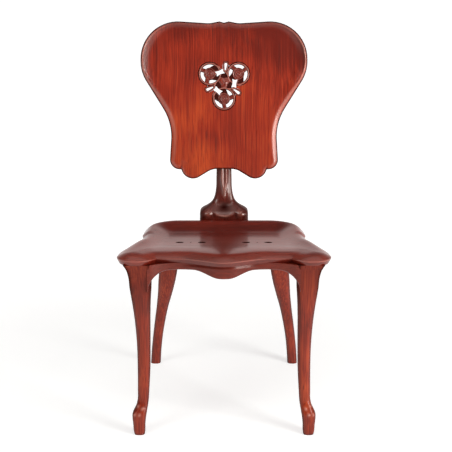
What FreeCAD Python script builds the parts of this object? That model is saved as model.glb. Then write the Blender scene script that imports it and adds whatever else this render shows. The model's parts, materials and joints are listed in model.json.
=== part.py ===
# Side chair with a scalloped saddle seat, carved legs and a pierced shield-shaped back on one post.
# Millimetres. x runs to the right as the chair is seen from the front, y to the rear, z up.
# The origin is on the floor, in the middle of the chair's box.
import FreeCAD, Part
import math
import os

import Sketcher
from FreeCAD import Placement, Rotation, Vector

# Driving sizes: lengths in millimetres, angles in degrees.
SIZES = {
    # seat
    "seat_height": 456,        # top of the seat at the front corners
    "seat_slope": 4.4,         # fall of the seat towards the rear
    "seat_thick": 30,
    "seat_ahead": 246,         # front corner lobes, ahead of the origin
    "seat_behind": 166,        # rear edge, behind the origin
    "seat_half_front": 252,
    "seat_half_rear": 202,
    "seat_roll": 18,           # rolled upper edge, inwards over the top
    "seat_roll_depth": 20,     # rolled upper edge, down the side
    "seat_arris": 4,           # rounded lower edge
    "lobe_width": 95,          # front corner lobe, from the side to the notch beside it
    "bay_depth": 30,           # scallop between a lobe and the middle bulge
    "bulge_reach": 22,         # middle bulge ahead of the lobes, before its nose is rounded
    "bulge_radius": 58,
    "bay_radius": 70,
    "notch_radius": 2.5,
    "lobe_radius": 40,
    "flank_radius": 140,
    "rear_radius": 88,
    "side_step": 5,            # little step out in the sides, behind the flanks
    "saddle_depth": 14,
    "saddle_lip": 16,          # rear lip left behind the saddle
    "seat_joint_front": 110,   # board joint ahead of the origin
    "seat_joint_rear": 30,     # board joint behind the origin
    "hole_row": 60,            # row of seat holes ahead of the origin
    "hole_pitch": 54.5,
    "oval_long": 20,
    "oval_short": 19,
    "dot_size": 5.5,
    # back panel
    "panel_gap": 31,           # back face of the panel at its foot, behind the seat's rear edge
    "panel_rise": 75,          # the panel's own origin above the seat's height
    "panel_recline": 9,
    "panel_height": 411,
    "panel_half": 219,
    "panel_waist": 137,
    "panel_thick": 26,
    "panel_round": 5,
    "panel_shoulder": 100,     # radius of the upper corners and of the widest part of the sides
    "panel_flank": 140,        # radius of the waist
    "panel_lobe": 32,          # radius of the two lobes at the foot
    "panel_bay": 45,           # radius of the scallop between them
    "panel_lobe_drop": 18,     # those lobes below the panel's own origin
    "panel_scallop": 23.5,     # scallop and side notches above it
    "rim_width": 13,           # slope of the rolled rim down to the field
    "rim_depth": 9,            # field below the top of the rim
    "panel_joint": 76,         # board joints either side of the middle
    "ornament_height": 252,
    "ring_orbit": 43,          # ring centres from the middle of the ornament
    "ring_outer": 24.5,        # pierced part of each ring
    "ring_inner": 15,
    "rosette": 24,             # width of the carved disc in each ring
    "relief": 3,               # discs above the field
    # front legs
    "front_leg_side": 57,      # middle of the leg in from the side of the seat
    "front_leg_back": 36,      # and back from the lobes at its front
    "front_block": 50,         # square block that takes the tenons
    "block_flare": 10,         # growth of that block outwards and forwards, up to the seat
    "front_knee_drop": 91,     # underside of that block below the seat's height
    "front_rake": 16,          # foot ahead of the block
    "front_shin_width": 38.5,
    "calf_width": 32.5,
    "ankle_width": 30,
    "throat_width": 27,
    "toe_width": 32.5,
    "heel_width": 29.5,
    "front_foot_width": 23.5,
    "shank_in": 4.5,           # calf and ankle nearer the middle than the block
    "toe_out": 8,              # foot further out than the block
    # rear legs
    "rear_leg_side": 57,       # middle of the leg in from the side of the seat
    "rear_block": 50,
    "rear_knee_drop": 121,
    "rear_thigh_width": 46,
    "rear_shank_width": 32,
    "rear_foot_width": 27,
    "rear_splay": 46,          # foot further out than the block
    "rear_kick": 63,           # foot further back than the block
    # aprons, tenons and corner blocks
    "rail_in": 6,              # plane where the rear apron meets the post, in from the seat's rear edge
    "rail_thick": 24,
    "front_rail_back": 50,     # back face of the front apron, back from the lobes of the seat
    "rail_depth": 28,          # seat down to the arches of the side and rear aprons
    "arch_drop": 50,           # front apron's lower edge below the seat's height, beside its nose
    "nose_drop": 65,
    "tenon_thick": 10,
    "tenon_tall": 32,
    "tenon_wall": 3,           # wood left between the two tenons in a leg
    "front_tenon_drop": 78,
    "rear_tenon_drop": 104,
    "peg_size": 6,
    "front_brace_clear": 22,   # corner blocks clear of the legs
    "rear_brace_clear": 30,
    "brace_face": 50,          # glued face of a corner block along each apron
    "front_brace_drop": 54,
    "rear_brace_drop": 96,
    # post
    "post_half": 20.5,
    "knuckle_half": 64,
    "knuckle_drop": 15,        # top of the knuckle below the seat's height at the front
    "post_tail_drop": 106,
    "post_thick": 26,
    "spine_top": 170,          # along the panel, above its own origin
    # tongues, screws and plugs
    "tongue_thick": 5,
    "tongue_wide": 18,
    "seat_tongue_long": 300,
    "panel_tongue_long": 280,
    "screw_shank": 4.5,
    "screw_head": 9,
    "screw_bite": 12,          # how far a screw goes into the piece it holds
    "plug_size": 10,
}

doc = FreeCAD.newDocument("side_chair")
sheet = doc.addObject("Spreadsheet::Sheet", "Sizes")
for row, (alias, number) in enumerate(SIZES.items(), start=1):
    sheet.set(f"A{row}", alias)
    sheet.set(f"B{row}", str(number))
    sheet.setAlias(f"B{row}", alias)
doc.recompute()


def size(alias):
    return float(sheet.get(alias))


ACROSS, ALONG, UP = Vector(1, 0, 0), Vector(0, 1, 0), Vector(0, 0, 1)
PLAN = Rotation()                                # outlines x, y, seen from above
FRONT_VIEW = Rotation(ACROSS, 90)                # outlines x, z, with depth running forwards
SIDE_VIEW = Rotation(Vector(1, 1, 1), 120)       # outlines y, z, with depth running to the right
FAR = 600.0                                      # longer than any half of the chair
EAR_TIP = 2.0                                    # thickness of an apron's ear where it dies into a leg

slope = math.radians(size("seat_slope"))
recline = math.radians(size("panel_recline"))
panel_behind = size("seat_behind") + size("panel_gap")
panel_foot = size("seat_height") + size("panel_rise")
post_plane = size("seat_behind") - size("rail_in")
front_leg_x = size("seat_half_front") - size("front_leg_side")
front_leg_y = size("front_leg_back") - size("seat_ahead")
rear_leg_x = size("seat_half_rear") - size("rear_leg_side")
rear_leg_y = post_plane - size("rear_block") / 2
front_inner = front_leg_x - size("front_block") / 2               # leg faces that the front apron meets
rear_inner = rear_leg_x - size("rear_block") / 2
apron_back = size("front_rail_back") - size("seat_ahead")
side_start = front_leg_y + size("front_block") / 2                # leg faces that the side aprons meet
side_end = rear_leg_y - size("rear_block") / 2
nodes = []

# The same places as expressions for the objects that are bound to the sheet.
front_x_text = "Sizes.seat_half_front - Sizes.front_leg_side"
front_y_text = "Sizes.front_leg_back - Sizes.seat_ahead"
front_inner_text = f"{front_x_text} - Sizes.front_block / 2"
post_plane_text = "Sizes.seat_behind - Sizes.rail_in"
rear_x_text = "Sizes.seat_half_rear - Sizes.rear_leg_side"
rear_y_text = f"{post_plane_text} - Sizes.rear_block / 2"
rear_inner_text = f"{rear_x_text} - Sizes.rear_block / 2"


def below_seat_text(drop):
    return f"(Sizes.seat_height - Sizes.{drop})"


def below_seat(drop):
    return size("seat_height") - size(drop)


def seat_top(y):
    return size("seat_height") - (y + size("seat_ahead")) * math.tan(slope)


def seat_under(y):
    return seat_top(y) - size("seat_thick") / math.cos(slope)


def panel_plane(z):
    return panel_behind + (z - panel_foot) * math.tan(recline)


def side_rail(y):
    # Middle line of the right side apron, from the front leg to the rear leg.
    share = (y - side_start) / (side_end - side_start)
    return front_leg_x + share * (rear_leg_x - front_leg_x)


seat_frame = Placement(Vector(0, 0, seat_top(0)), Rotation(ACROSS, -size("seat_slope")))
panel_frame = Placement(Vector(0, panel_behind, panel_foot), Rotation(ACROSS, 90 - size("panel_recline")))


# Outlines are anticlockwise lists of corners (x, y, radius), joined by straight edges and tangent arcs.
def mirrored(right_half):
    return right_half + [(-x, y, radius) for x, y, radius in reversed(right_half) if x > 0]


def inset_corners(corners, inset):
    # Every edge moves inwards by the inset; outer corners tighten and inner corners open out.
    points = [Vector(x, y, 0) for x, y, _ in corners]
    headings = [(b - a).normalize() for a, b in zip(points, points[1:] + points[:1])]
    moved = []
    for index, (point, corner) in enumerate(zip(points, corners)):
        before, after = headings[index - 1], headings[index]
        turn = math.atan2(before.cross(after).z, before.dot(after))
        inward = UP.cross(before) + UP.cross(after)
        radius = corner[2]
        if radius:
            radius = max(radius - math.copysign(inset, turn), 0.3)
        moved.append((point + inward * (inset / (1 + math.cos(turn))), radius, abs(turn) / 2))
    return moved


def outline(corners, inset=0.0, level=0.0):
    moved = inset_corners(corners, inset)
    places = [place + UP * level for place, _, _ in moved]
    edges = [b - a for a, b in zip(places, places[1:] + places[:1])]
    reach = [radius * math.tan(half_turn) for _, radius, half_turn in moved]
    wanted = [near + far for near, far in zip(reach, reach[1:] + reach[:1])]
    room = [min(1.0, 0.98 * edge.Length / max(want, 0.001)) for edge, want in zip(edges, wanted)]
    reach = [length * min(room[index - 1], room[index]) for index, length in enumerate(reach)]
    pieces = []
    for index, edge in enumerate(edges):
        after = (index + 1) % len(places)
        heading = Vector(edge).normalize()
        onward = Vector(edges[after]).normalize()
        line_end = places[after] - heading * reach[after]
        pieces.append(Part.makeLine(places[index] + heading * reach[index], line_end))
        if reach[after]:
            to_centre = (onward - heading).normalize()
            middle = places[after] + to_centre * (reach[after] * math.tan(moved[after][2] / 2))
            arc = Part.Arc(line_end, middle, places[after] + onward * reach[after])
            pieces.append(arc.toShape())
    return Part.Wire(pieces)


def plate(corners, start, end, view=PLAN):
    solid = Part.Face(outline(corners, level=start)).extrude(UP * (end - start))
    solid.Placement = Placement(Vector(), view)
    return solid


def stack(corners, levels):
    # A board whose outline is drawn in by a given inset at each height.
    return Part.makeLoft([outline(corners, inset, height) for height, inset in levels], True, True)


def rounded_levels(thick, lower, upper, depth):
    # Heights and insets of a board with a round lower edge and an elliptic upper one of a given depth.
    angles = [math.radians(turn) for turn in (0, 30, 60, 90)]
    below = [(lower * (1 - math.cos(turn)), lower * (1 - math.sin(turn))) for turn in angles]
    above = [(thick - depth * (1 - math.cos(turn)), upper * (1 - math.sin(turn))) for turn in angles]
    return below + above[::-1]


def box(low, high):
    return Part.makeBox(high.x - low.x, high.y - low.y, high.z - low.z, low)


def in_frame(frame, item):
    # A copy of a document object's shape as it lies in a tilted frame.
    shape = item.Shape.copy()
    shape.Placement = frame.inverse().multiply(shape.Placement)
    return shape


def feature(name, shape, placement=None):
    item = doc.addObject("Part::Feature", name)
    item.Shape = shape
    item.Placement = placement or Placement()
    return item


def bound_box(name, low, span):
    item = doc.addObject("Part::Box", name)
    for side, text in zip(("Length", "Width", "Height"), span):
        item.setExpression(side, text)
    for axis, text in zip("xyz", low):
        item.setExpression(f"Placement.Base.{axis}", text)
    return item


def bound_rod(name, width, length, start, turn):
    item = doc.addObject("Part::Cylinder", name)
    item.Placement = Placement(Vector(), turn)
    item.setExpression("Radius", f"({width}) / 2")
    item.setExpression("Height", length)
    for axis, text in zip("xyz", start):
        item.setExpression(f"Placement.Base.{axis}", text)
    return item


def other_side(item):
    mirror = doc.addObject("Part::Mirroring", item.Name + "_mirror")
    mirror.Source = item
    mirror.Normal = ACROSS
    return mirror


def cut(name, base, tools):
    if len(tools) > 1:
        tool = doc.addObject("Part::MultiFuse", name + "_tools")
        tool.Shapes = tools
    else:
        tool = tools[0]
    item = doc.addObject("Part::Cut", name)
    item.Base = base
    item.Tool = tool
    return item


def node(name, item):
    item.Label = name
    nodes.append(item)
    return item


def group(name, items):
    compound = doc.addObject("Part::Compound", name)
    compound.Links = items
    return node(name, compound)


# Tenons of the right-hand corners; each one is also the shape of its mortise.
def tenon_length(block):
    return f"Sizes.{block} / 2 - Sizes.tenon_thick / 2 - Sizes.tenon_wall"


front_tenon = bound_box(
    "front_tenon",
    (front_inner_text, f"{front_y_text} - Sizes.tenon_thick / 2", below_seat_text("front_tenon_drop")),
    (tenon_length("front_block"), "Sizes.tenon_thick", "Sizes.tenon_tall"),
)
side_front_tenon = bound_box(
    "side_front_tenon",
    (
        f"{front_x_text} - Sizes.tenon_thick / 2",
        f"{front_y_text} + Sizes.front_block / 2 - ({tenon_length('front_block')})",
        below_seat_text("front_tenon_drop"),
    ),
    ("Sizes.tenon_thick", tenon_length("front_block"), "Sizes.tenon_tall"),
)
side_rear_tenon = bound_box(
    "side_rear_tenon",
    (f"{rear_x_text} - Sizes.tenon_thick / 2", f"{post_plane_text} - Sizes.rear_block",
     below_seat_text("rear_tenon_drop")),
    ("Sizes.tenon_thick", tenon_length("rear_block"), "Sizes.tenon_tall"),
)
rear_tenon = bound_box(
    "rear_tenon",
    (rear_inner_text, f"{post_plane_text} - Sizes.rail_thick / 2 - Sizes.tenon_thick / 2",
     below_seat_text("rear_tenon_drop")),
    (tenon_length("rear_block"), "Sizes.tenon_thick", "Sizes.tenon_tall"),
)

# Pegs go in from the inner faces of the legs, through the tenons, and stop inside.
FORWARDS, BACKWARDS, OUTWARDS = Rotation(ACROSS, 90), Rotation(ACROSS, -90), Rotation(ALONG, 90)
high_peg = " + Sizes.tenon_tall * 0.72"
low_peg = " + Sizes.tenon_tall * 0.28"
pegs = [
    bound_rod(
        "front_tenon_peg", "Sizes.peg_size", "Sizes.front_block * 0.64",
        (f"{front_inner_text} + ({tenon_length('front_block')}) / 2",
         f"{front_y_text} + Sizes.front_block / 2", below_seat_text("front_tenon_drop") + high_peg),
        FORWARDS),
    bound_rod(
        "side_front_peg", "Sizes.peg_size", "Sizes.front_block * 0.64",
        (front_inner_text, f"{front_y_text} + Sizes.front_block / 2 - Sizes.peg_size",
         below_seat_text("front_tenon_drop") + low_peg),
        OUTWARDS),
    bound_rod(
        "rear_tenon_peg", "Sizes.peg_size", "Sizes.rear_block * 0.9",
        (f"{rear_inner_text} + ({tenon_length('rear_block')}) / 2",
         f"{post_plane_text} - Sizes.rear_block", below_seat_text("rear_tenon_drop") + high_peg),
        BACKWARDS),
    bound_rod(
        "side_rear_peg", "Sizes.peg_size", "Sizes.rear_block * 0.64",
        (rear_inner_text, f"{post_plane_text} - Sizes.rear_block + ({tenon_length('rear_block')}) / 2",
         below_seat_text("rear_tenon_drop") + low_peg),
        OUTWARDS),
]
front_leg_pegs, rear_leg_pegs = pegs[:2], pegs[2:]


# Screws with countersunk heads, head first at their start.
def wood_screw(name, start, heading, length):
    shank = doc.addObject("Part::Cylinder", name + "_shank")
    shank.setExpression("Radius", "Sizes.screw_shank / 2")
    shank.Height = length
    head = doc.addObject("Part::Cone", name + "_head")
    head.setExpression("Radius1", "Sizes.screw_head / 2")
    head.setExpression("Radius2", "Sizes.screw_shank / 2")
    head.setExpression("Height", "(Sizes.screw_head - Sizes.screw_shank) / 2")
    screw = doc.addObject("Part::Fuse", name)
    screw.Base = shank
    screw.Tool = head
    screw.Placement = Placement(start, Rotation(UP, heading))
    return screw


def screw_room(screw, length):
    # Clear way behind a screw's head.
    room = doc.addObject("Part::Cylinder", screw.Name + "_room")
    room.setExpression("Radius", "Sizes.screw_head / 2")
    room.Height = length
    room.Placement = screw.Placement.multiply(Placement(UP * -length, Rotation()))
    return room


# Corner blocks bridge two aprons behind each leg; their corners start on the cross apron, beside the leg.
def brace_corners(leg_inner, cross_face, leg_face, clear, inwards):
    side_face = size("rail_thick") / 2
    near, far = leg_face + inwards * clear, leg_face + inwards * (clear + size("brace_face"))
    return [
        (leg_inner - clear, cross_face),
        (leg_inner - clear - size("brace_face"), cross_face),
        (side_rail(far) - side_face, far),
        (side_rail(near) - side_face, near),
    ]


def crossing(point, heading, start, end):
    # Where a line from a point crosses the line through start and end, in plan.
    along = end - start
    share = (start - point).cross(along).z / heading.cross(along).z
    return point + heading * share


front_brace = brace_corners(front_inner, apron_back, side_start, size("front_brace_clear"), 1)
rear_brace = brace_corners(
    rear_inner, post_plane - size("rail_thick"), side_end, size("rear_brace_clear"), -1
)
front_screw_z = below_seat("front_brace_drop") + size("screw_head")
rear_screw_z = below_seat("rear_tenon_drop") + size("tenon_tall") / 2


def corner_screw(name, brace, leg_centre, block_width, toward):
    inner_face = [Vector(x, y, leg_centre.z) for x, y in brace[1:3]]
    face_point = crossing(leg_centre, toward, *inner_face)
    start = face_point + toward * 2
    leg_corner = block_width / math.sqrt(2) * 0.85
    length = (leg_centre - start).Length - leg_corner + size("screw_bite")
    return wood_screw(name, start, toward, length)


def seat_screw(name, brace, foot):
    # Upright screw at the cross-apron end of a corner block.
    x = 0.55 * brace[0][0] + 0.45 * brace[1][0]
    y = 0.82 * brace[0][1] + 0.18 * brace[3][1]
    start = Vector(x, y, foot + 0.5 * size("screw_head"))
    return wood_screw(name, start, UP, seat_under(y) + size("screw_bite") * 0.8 - start.z)


diagonal = 1 / math.sqrt(2)
front_corner_screw = corner_screw(
    "front_corner_screw", front_brace, Vector(front_leg_x, front_leg_y, front_screw_z),
    size("front_block"), Vector(diagonal, -diagonal, 0)
)
rear_corner_screw = corner_screw(
    "rear_corner_screw", rear_brace, Vector(rear_leg_x, rear_leg_y, rear_screw_z),
    size("rear_block"), Vector(diagonal, diagonal, 0)
)
front_seat_screw = seat_screw("front_seat_screw", front_brace, below_seat("front_brace_drop"))
rear_seat_screw = seat_screw("rear_seat_screw", rear_brace, below_seat("rear_brace_drop"))
post_screw_foot = Vector(0, post_plane - size("rail_thick"), below_seat("rear_tenon_drop"))
post_screws = [
    wood_screw(
        f"post_screw_{index}", post_screw_foot + UP * (share * size("tenon_tall")),
        ALONG, size("rail_thick") + 1.4 * size("screw_bite")
    )
    for index, share in enumerate((0.3125, 0.875))
]
panel_normal = panel_frame.Rotation.multVec(UP)
panel_screws = []
plug_rods = []
for index, share in enumerate((0.3, 0.58, 0.86)):
    seat_point = panel_frame.multVec(Vector(0, share * size("spine_top"), 0))
    head_point = seat_point - panel_normal * (0.5 * size("post_thick"))
    panel_screws.append(wood_screw(
        f"panel_screw_{index}", head_point, panel_normal, 0.5 * size("post_thick") + size("screw_bite")
    ))
    rod = doc.addObject("Part::Cylinder", f"plug_rod_{index}")
    rod.setExpression("Radius", "Sizes.plug_size / 2")
    rod.setExpression("Height", "Sizes.post_thick")
    rod.Placement = Placement(head_point, Rotation(UP, panel_normal * -1))
    plug_rods.append(rod)

# Everything above the underside of the seat, to trim the legs, aprons and corner blocks.
above_seat = doc.addObject("Part::Box", "above_seat")
above_seat.Length = above_seat.Width = 2 * FAR
above_seat.Height = FAR
above_seat.Placement = seat_frame.multiply(Placement(Vector(-FAR, -FAR, -size("seat_thick")), Rotation()))

# Tongues in the board joints, in the frames of the seat and of the panel.
seat_tongue_level = -(size("saddle_depth") + size("seat_thick")) / 2
panel_tongue_level = (size("panel_thick") - size("rim_depth")) / 2


def tongue(name, frame, middle, span):
    item = doc.addObject("Part::Box", name)
    for side, text in zip(("Length", "Width", "Height"), span):
        item.setExpression(side, text)
    doc.recompute()
    half = Vector(item.Length.Value, item.Width.Value, item.Height.Value) * 0.5
    item.Placement = frame.multiply(Placement(middle - half, Rotation()))
    return item


seat_span = ("Sizes.seat_tongue_long", "Sizes.tongue_wide", "Sizes.tongue_thick")
panel_span = ("Sizes.tongue_wide", "Sizes.panel_tongue_long", "Sizes.tongue_thick")
seat_tongues = [
    tongue(name, seat_frame, Vector(0, joint, seat_tongue_level), seat_span)
    for name, joint in (
        ("front_seat_tongue", -size("seat_joint_front")), ("rear_seat_tongue", size("seat_joint_rear"))
    )
]
panel_tongues = [
    tongue(name, panel_frame, Vector(joint, size("panel_height") / 2, panel_tongue_level), panel_span)
    for name, joint in (
        ("left_back_tongue", -size("panel_joint")), ("right_back_tongue", size("panel_joint"))
    )
]
screws_right = [front_corner_screw, rear_corner_screw, front_seat_screw, rear_seat_screw]
screws_left = [other_side(screw) for screw in screws_right]
doc.recompute()


# Seat: one scalloped board with rounded edges, saddled, pierced, and cut into three boards.
def seat_board():
    front, rear = -size("seat_ahead"), size("seat_behind")
    half_front, half_rear = size("seat_half_front"), size("seat_half_rear")
    notch_x = half_front - size("lobe_width")
    bay_y = front + size("bay_depth")
    corners = mirrored([
        (0, front - size("bulge_reach"), size("bulge_radius")),
        (0.59 * notch_x, bay_y, size("bay_radius")),
        (notch_x, bay_y, size("notch_radius")),
        (notch_x + 0.25 * size("lobe_width"), front - 1, size("lobe_radius")),
        (half_front, front, size("lobe_radius")),
        (half_front - 6, front + 2 * size("lobe_radius"), size("flank_radius")),
        (half_rear + 4.5, rear - 206, size("flank_radius")),
        (half_rear + 0.5, rear - 162, size("notch_radius")),
        (half_rear + size("side_step"), rear - 140, 2.8 * size("side_step")),
        (half_rear, rear, size("rear_radius")),
    ])
    thick = size("seat_thick")
    levels = rounded_levels(thick, size("seat_arris"), size("seat_roll"), size("seat_roll_depth"))
    return stack(corners, [(height - thick, inset) for height, inset in levels])


def saddle():
    # Cross sections are shallow arcs: place along the seat, half width, share of the full depth.
    depth = size("saddle_depth")
    rear = size("seat_behind") - size("saddle_lip")
    front = -size("seat_ahead")
    narrow, wide = size("seat_half_rear") - 40, size("seat_half_front") - 44
    stations = [
        (rear, 0.88 * narrow, 0.05),
        (rear - 32, narrow, 0.72),
        (rear - 90, narrow + 10, 1.0),
        (front + 186, narrow + 22, 0.9),
        (front + 76, wide - 8, 0.5),
        (front - 54, wide + 6, 0.12),
    ]
    wires = []
    for y, half, share in stations:
        left, right = Vector(-half, y, 0), Vector(half, y, 0)
        rise = UP * 20
        arc = Part.Arc(left, Vector(0, y, -share * depth), right).toShape()
        lines = [Part.makeLine(right, right + rise), Part.makeLine(right + rise, left + rise),
                 Part.makeLine(left + rise, left)]
        wires.append(Part.Wire([arc] + lines))
    return Part.makeLoft(wires, True, False)


def seat_holes():
    y, pitch = -size("hole_row"), size("hole_pitch")
    long, short = size("oval_long") / 2, size("oval_short") / 2
    top, bottom = 5.0, -size("seat_thick") - 5.0
    holes = []
    for x in (-2 * pitch, -pitch, pitch, 2 * pitch):
        oval = [(x - long, y - short, short), (x + long, y - short, short),
                (x + long, y + short, short), (x - long, y + short, short)]
        holes.append(plate(oval, bottom, top))
    dots = [(-1.5 * pitch, 1.0), (1.5 * pitch, 1.0), (-9, 0.5), (0, 0.5), (9, 0.5)]
    for x, share in dots:
        radius = share * size("dot_size") / 2
        holes.append(Part.makeCylinder(radius, top - bottom, Vector(x, y, bottom)))
    return holes


post_notch = feature("post_notch", box(
    Vector(-size("knuckle_half") - 0.2, post_plane, 0), Vector(size("knuckle_half") + 0.2, FAR, FAR)
))
seat_tools = [post_notch] + seat_tongues + screws_right + screws_left
seat = seat_board().cut([saddle()] + seat_holes() + [in_frame(seat_frame, tool) for tool in seat_tools])
joint_front, joint_rear = -size("seat_joint_front"), size("seat_joint_rear")
for name, near, far in (
    ("seat_front_board", -FAR, joint_front),
    ("seat_middle_board", joint_front, joint_rear),
    ("seat_rear_board", joint_rear, FAR),
):
    board = seat.common(box(Vector(-FAR, near, -FAR), Vector(FAR, far, FAR)))
    node(name, feature(name, board.Solids[0], seat_frame))
group("seat_tongues", seat_tongues)


# Back panel: shield outline with a rolled rim, open at its foot, around a thinner field.
def panel_board():
    half, waist, height = size("panel_half"), size("panel_waist"), size("panel_height")
    thick = size("panel_thick")
    crown = [
        (waist, 0.353 * height, size("panel_flank")),
        (half, 0.676 * height, size("panel_shoulder")),
        (half, height + 5, size("panel_shoulder")),
        (38, height - 6.5, 60),
        (12, height - 1.5, 0),
        (0, height - 5, 0),
    ]
    scallop = size("panel_scallop")
    foot = [
        (waist - 105.5, scallop, size("panel_bay")),
        (waist - 37.5, -size("panel_lobe_drop"), size("panel_lobe")),
        (waist - 23.5, scallop - 1, size("notch_radius")),
        (waist + 8, scallop - 1.5, 0.8 * size("panel_lobe")),
    ]
    edge = size("panel_round")
    board = stack(mirrored(foot + crown), rounded_levels(thick, edge, edge, edge))
    crest = edge + 4
    field = thick - size("rim_depth")
    hollow = stack(
        mirrored([(waist + 13, -60, 0)] + crown),
        [(field, crest + size("rim_width")), (thick, crest), (thick + 6, crest - 2)]
    )
    return board.cut(hollow)


def turned(corners, angle, centre):
    cosine, sine = math.cos(angle), math.sin(angle)
    return [
        (centre.x + x * cosine - y * sine, centre.y + x * sine + y * cosine, radius)
        for x, y, radius in corners
    ]


def arc_slot(centre, middle, span):
    inner, outer = size("ring_inner"), size("ring_outer")
    wedge_reach = 2 * outer

    def ray(angle):
        return centre + Vector(math.cos(angle), math.sin(angle), 0) * wedge_reach

    wedge = Part.Face(Part.makePolygon([
        centre, ray(middle - span / 2), ray(middle), ray(middle + span / 2), centre
    ]))
    depth = 100
    ring = Part.makeCylinder(outer, depth, centre).cut(Part.makeCylinder(inner, depth, centre))
    return ring.common(wedge.extrude(UP * depth))


def ornament_holes():
    # Three pierced rings, a teardrop between each two rings and a small window beside each ring.
    middle = Vector(0, size("ornament_height"), -20)
    orbit = size("ring_orbit")
    teardrop = [
        (0.72 * orbit, -1.4, 1.2), (1.14 * orbit, -4, 3.6), (1.14 * orbit, 4, 3.6), (0.72 * orbit, 1.4, 1.2)
    ]
    window = [
        (0.45 * orbit, -5, 2), (0.82 * orbit, -6, 2), (0.82 * orbit, 6, 2), (0.45 * orbit, 5, 2)
    ]
    holes = []
    for third in range(3):
        outward = math.radians(30 + 120 * third)
        centre = middle + Vector(math.cos(outward), math.sin(outward), 0) * orbit
        for turn, span in ((-46, 58), (50, 58), (136, 34)):
            holes.append(arc_slot(centre, outward + math.radians(turn), math.radians(span)))
        holes.append(plate(turned(teardrop, outward + math.radians(55), middle), -20, 80))
        holes.append(plate(turned(window, outward + math.radians(84), middle), -20, 80))
    return holes


def ornament_relief():
    middle = Vector(0, size("ornament_height"), size("panel_thick") - size("rim_depth") - 1)
    radius = size("rosette") / 2
    discs = [Part.makeCylinder(radius, size("relief") + 2, middle)]
    for third in range(3):
        outward = math.radians(30 + 120 * third)
        centre = middle + Vector(math.cos(outward), math.sin(outward), 0) * size("ring_orbit")
        discs.append(Part.makeCylinder(radius, size("relief") + 1, centre))
    return discs


panel_tools = [in_frame(panel_frame, tool) for tool in panel_tongues + panel_screws]
panel = panel_board().fuse(ornament_relief()).cut(ornament_holes() + panel_tools)
joint = size("panel_joint")
for name, left, right in (
    ("back_left_board", -FAR, -joint),
    ("back_middle_board", -joint, joint),
    ("back_right_board", joint, FAR),
):
    board = panel.common(box(Vector(left, -FAR, -FAR), Vector(right, FAR, FAR)))
    node(name, feature(name, board.Solids[0], panel_frame))
group("back_tongues", panel_tongues)


# Post: a front outline and a side outline, both sawn through the same block.
def post_blank():
    half, knuckle, top = size("post_half"), size("knuckle_half"), below_seat("knuckle_drop")
    tail = below_seat("post_tail_drop")
    spine_z = panel_foot + size("spine_top") * math.cos(recline)
    front = mirrored([
        (half - 3, tail, 10),
        (half, top - 54, 20),
        (knuckle, top - 40, 14),
        (knuckle, top, 9),
        (half + 0.5, top + 3.5, 36),
        (half, top + 108, 60),
        (0.62 * half, spine_z, 11),
    ])
    neck_z = top + 68
    thick = size("post_thick")
    side = [
        (post_plane, tail, 0),
        (post_plane + thick - 2, tail, 12),
        (post_plane + thick + 4, top - 52, 60),
        (post_plane + 2 * thick, top - 12, 50),
        (panel_plane(neck_z) + thick + 5, neck_z, 90),
        (panel_plane(spine_z - 60) + thick, spine_z - 60, 80),
        (panel_plane(spine_z) + 0.4 * thick, spine_z, 6),
        (panel_plane(spine_z), spine_z, 0),
        (panel_plane(neck_z), neck_z, 40),
        (post_plane + thick, top + 26, 50),
        (post_plane + 2, top + 3, 5),
        (post_plane, top - 4, 0),
    ]
    return plate(front, -FAR, 0, FRONT_VIEW).common(plate(side, -FAR, FAR, SIDE_VIEW))


blank = feature("post_blank", post_blank())
plugs = []
for index, rod in enumerate(plug_rods):
    plug = doc.addObject("Part::Common", f"plug_{index}")
    plug.Base = rod
    plug.Tool = blank
    plugs.append(plug)
node("back_post", cut("back_post", blank, plug_rods + panel_screws + post_screws))
group("panel_screws", panel_screws)
group("panel_screw_plugs", plugs)
group("post_screws", post_screws)


# Aprons: an upright outline and a plan, with tenons at both ends, under the seat.
def cross_apron(edge, plan, tenon):
    shoulder = edge[-1][0]
    upright = plate(mirrored(edge + [(shoulder, FAR, 0)]), -FAR, FAR, FRONT_VIEW)
    body = upright.common(plate(plan, 0, FAR)).cut(above_seat.Shape)
    tenons = [tenon.Shape, tenon.Shape.mirror(Vector(), ACROSS)]
    return body.fuse(tenons).removeSplitter()


def lower_edge(half, drop, arch, ear_foot, drop_half):
    ear = half - EAR_TIP
    return [
        (drop_half, drop, 30),
        (drop_half + 50, arch, 40),
        (ear, arch, arch - ear_foot),
        (ear, ear_foot, 0),
        (half, ear_foot, 0),
    ]


front_edge = lower_edge(
    front_inner, below_seat("nose_drop"), below_seat("arch_drop"), below_seat("front_knee_drop") + EAR_TIP, 16
)
apron_bay = -size("seat_ahead") + size("bay_depth") + 8
apron_nose = -size("seat_ahead") - size("bulge_reach") + 16
front_plan = mirrored([
    (0, apron_nose, 58), (86, apron_bay, 60), (front_inner, apron_bay - 14, 0), (front_inner, apron_back, 0)
])
front_apron = cross_apron(front_edge, front_plan, front_tenon)

rear_arch = seat_under(post_plane) - size("rail_depth")
rear_edge = lower_edge(
    rear_inner, below_seat("post_tail_drop"), rear_arch, below_seat("rear_knee_drop") + EAR_TIP, 24
)
rear_plan = mirrored([
    (rear_inner, post_plane - size("rail_thick"), 0), (rear_inner, post_plane, 0)
])
rear_apron = cross_apron(rear_edge, rear_plan, rear_tenon)


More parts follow.
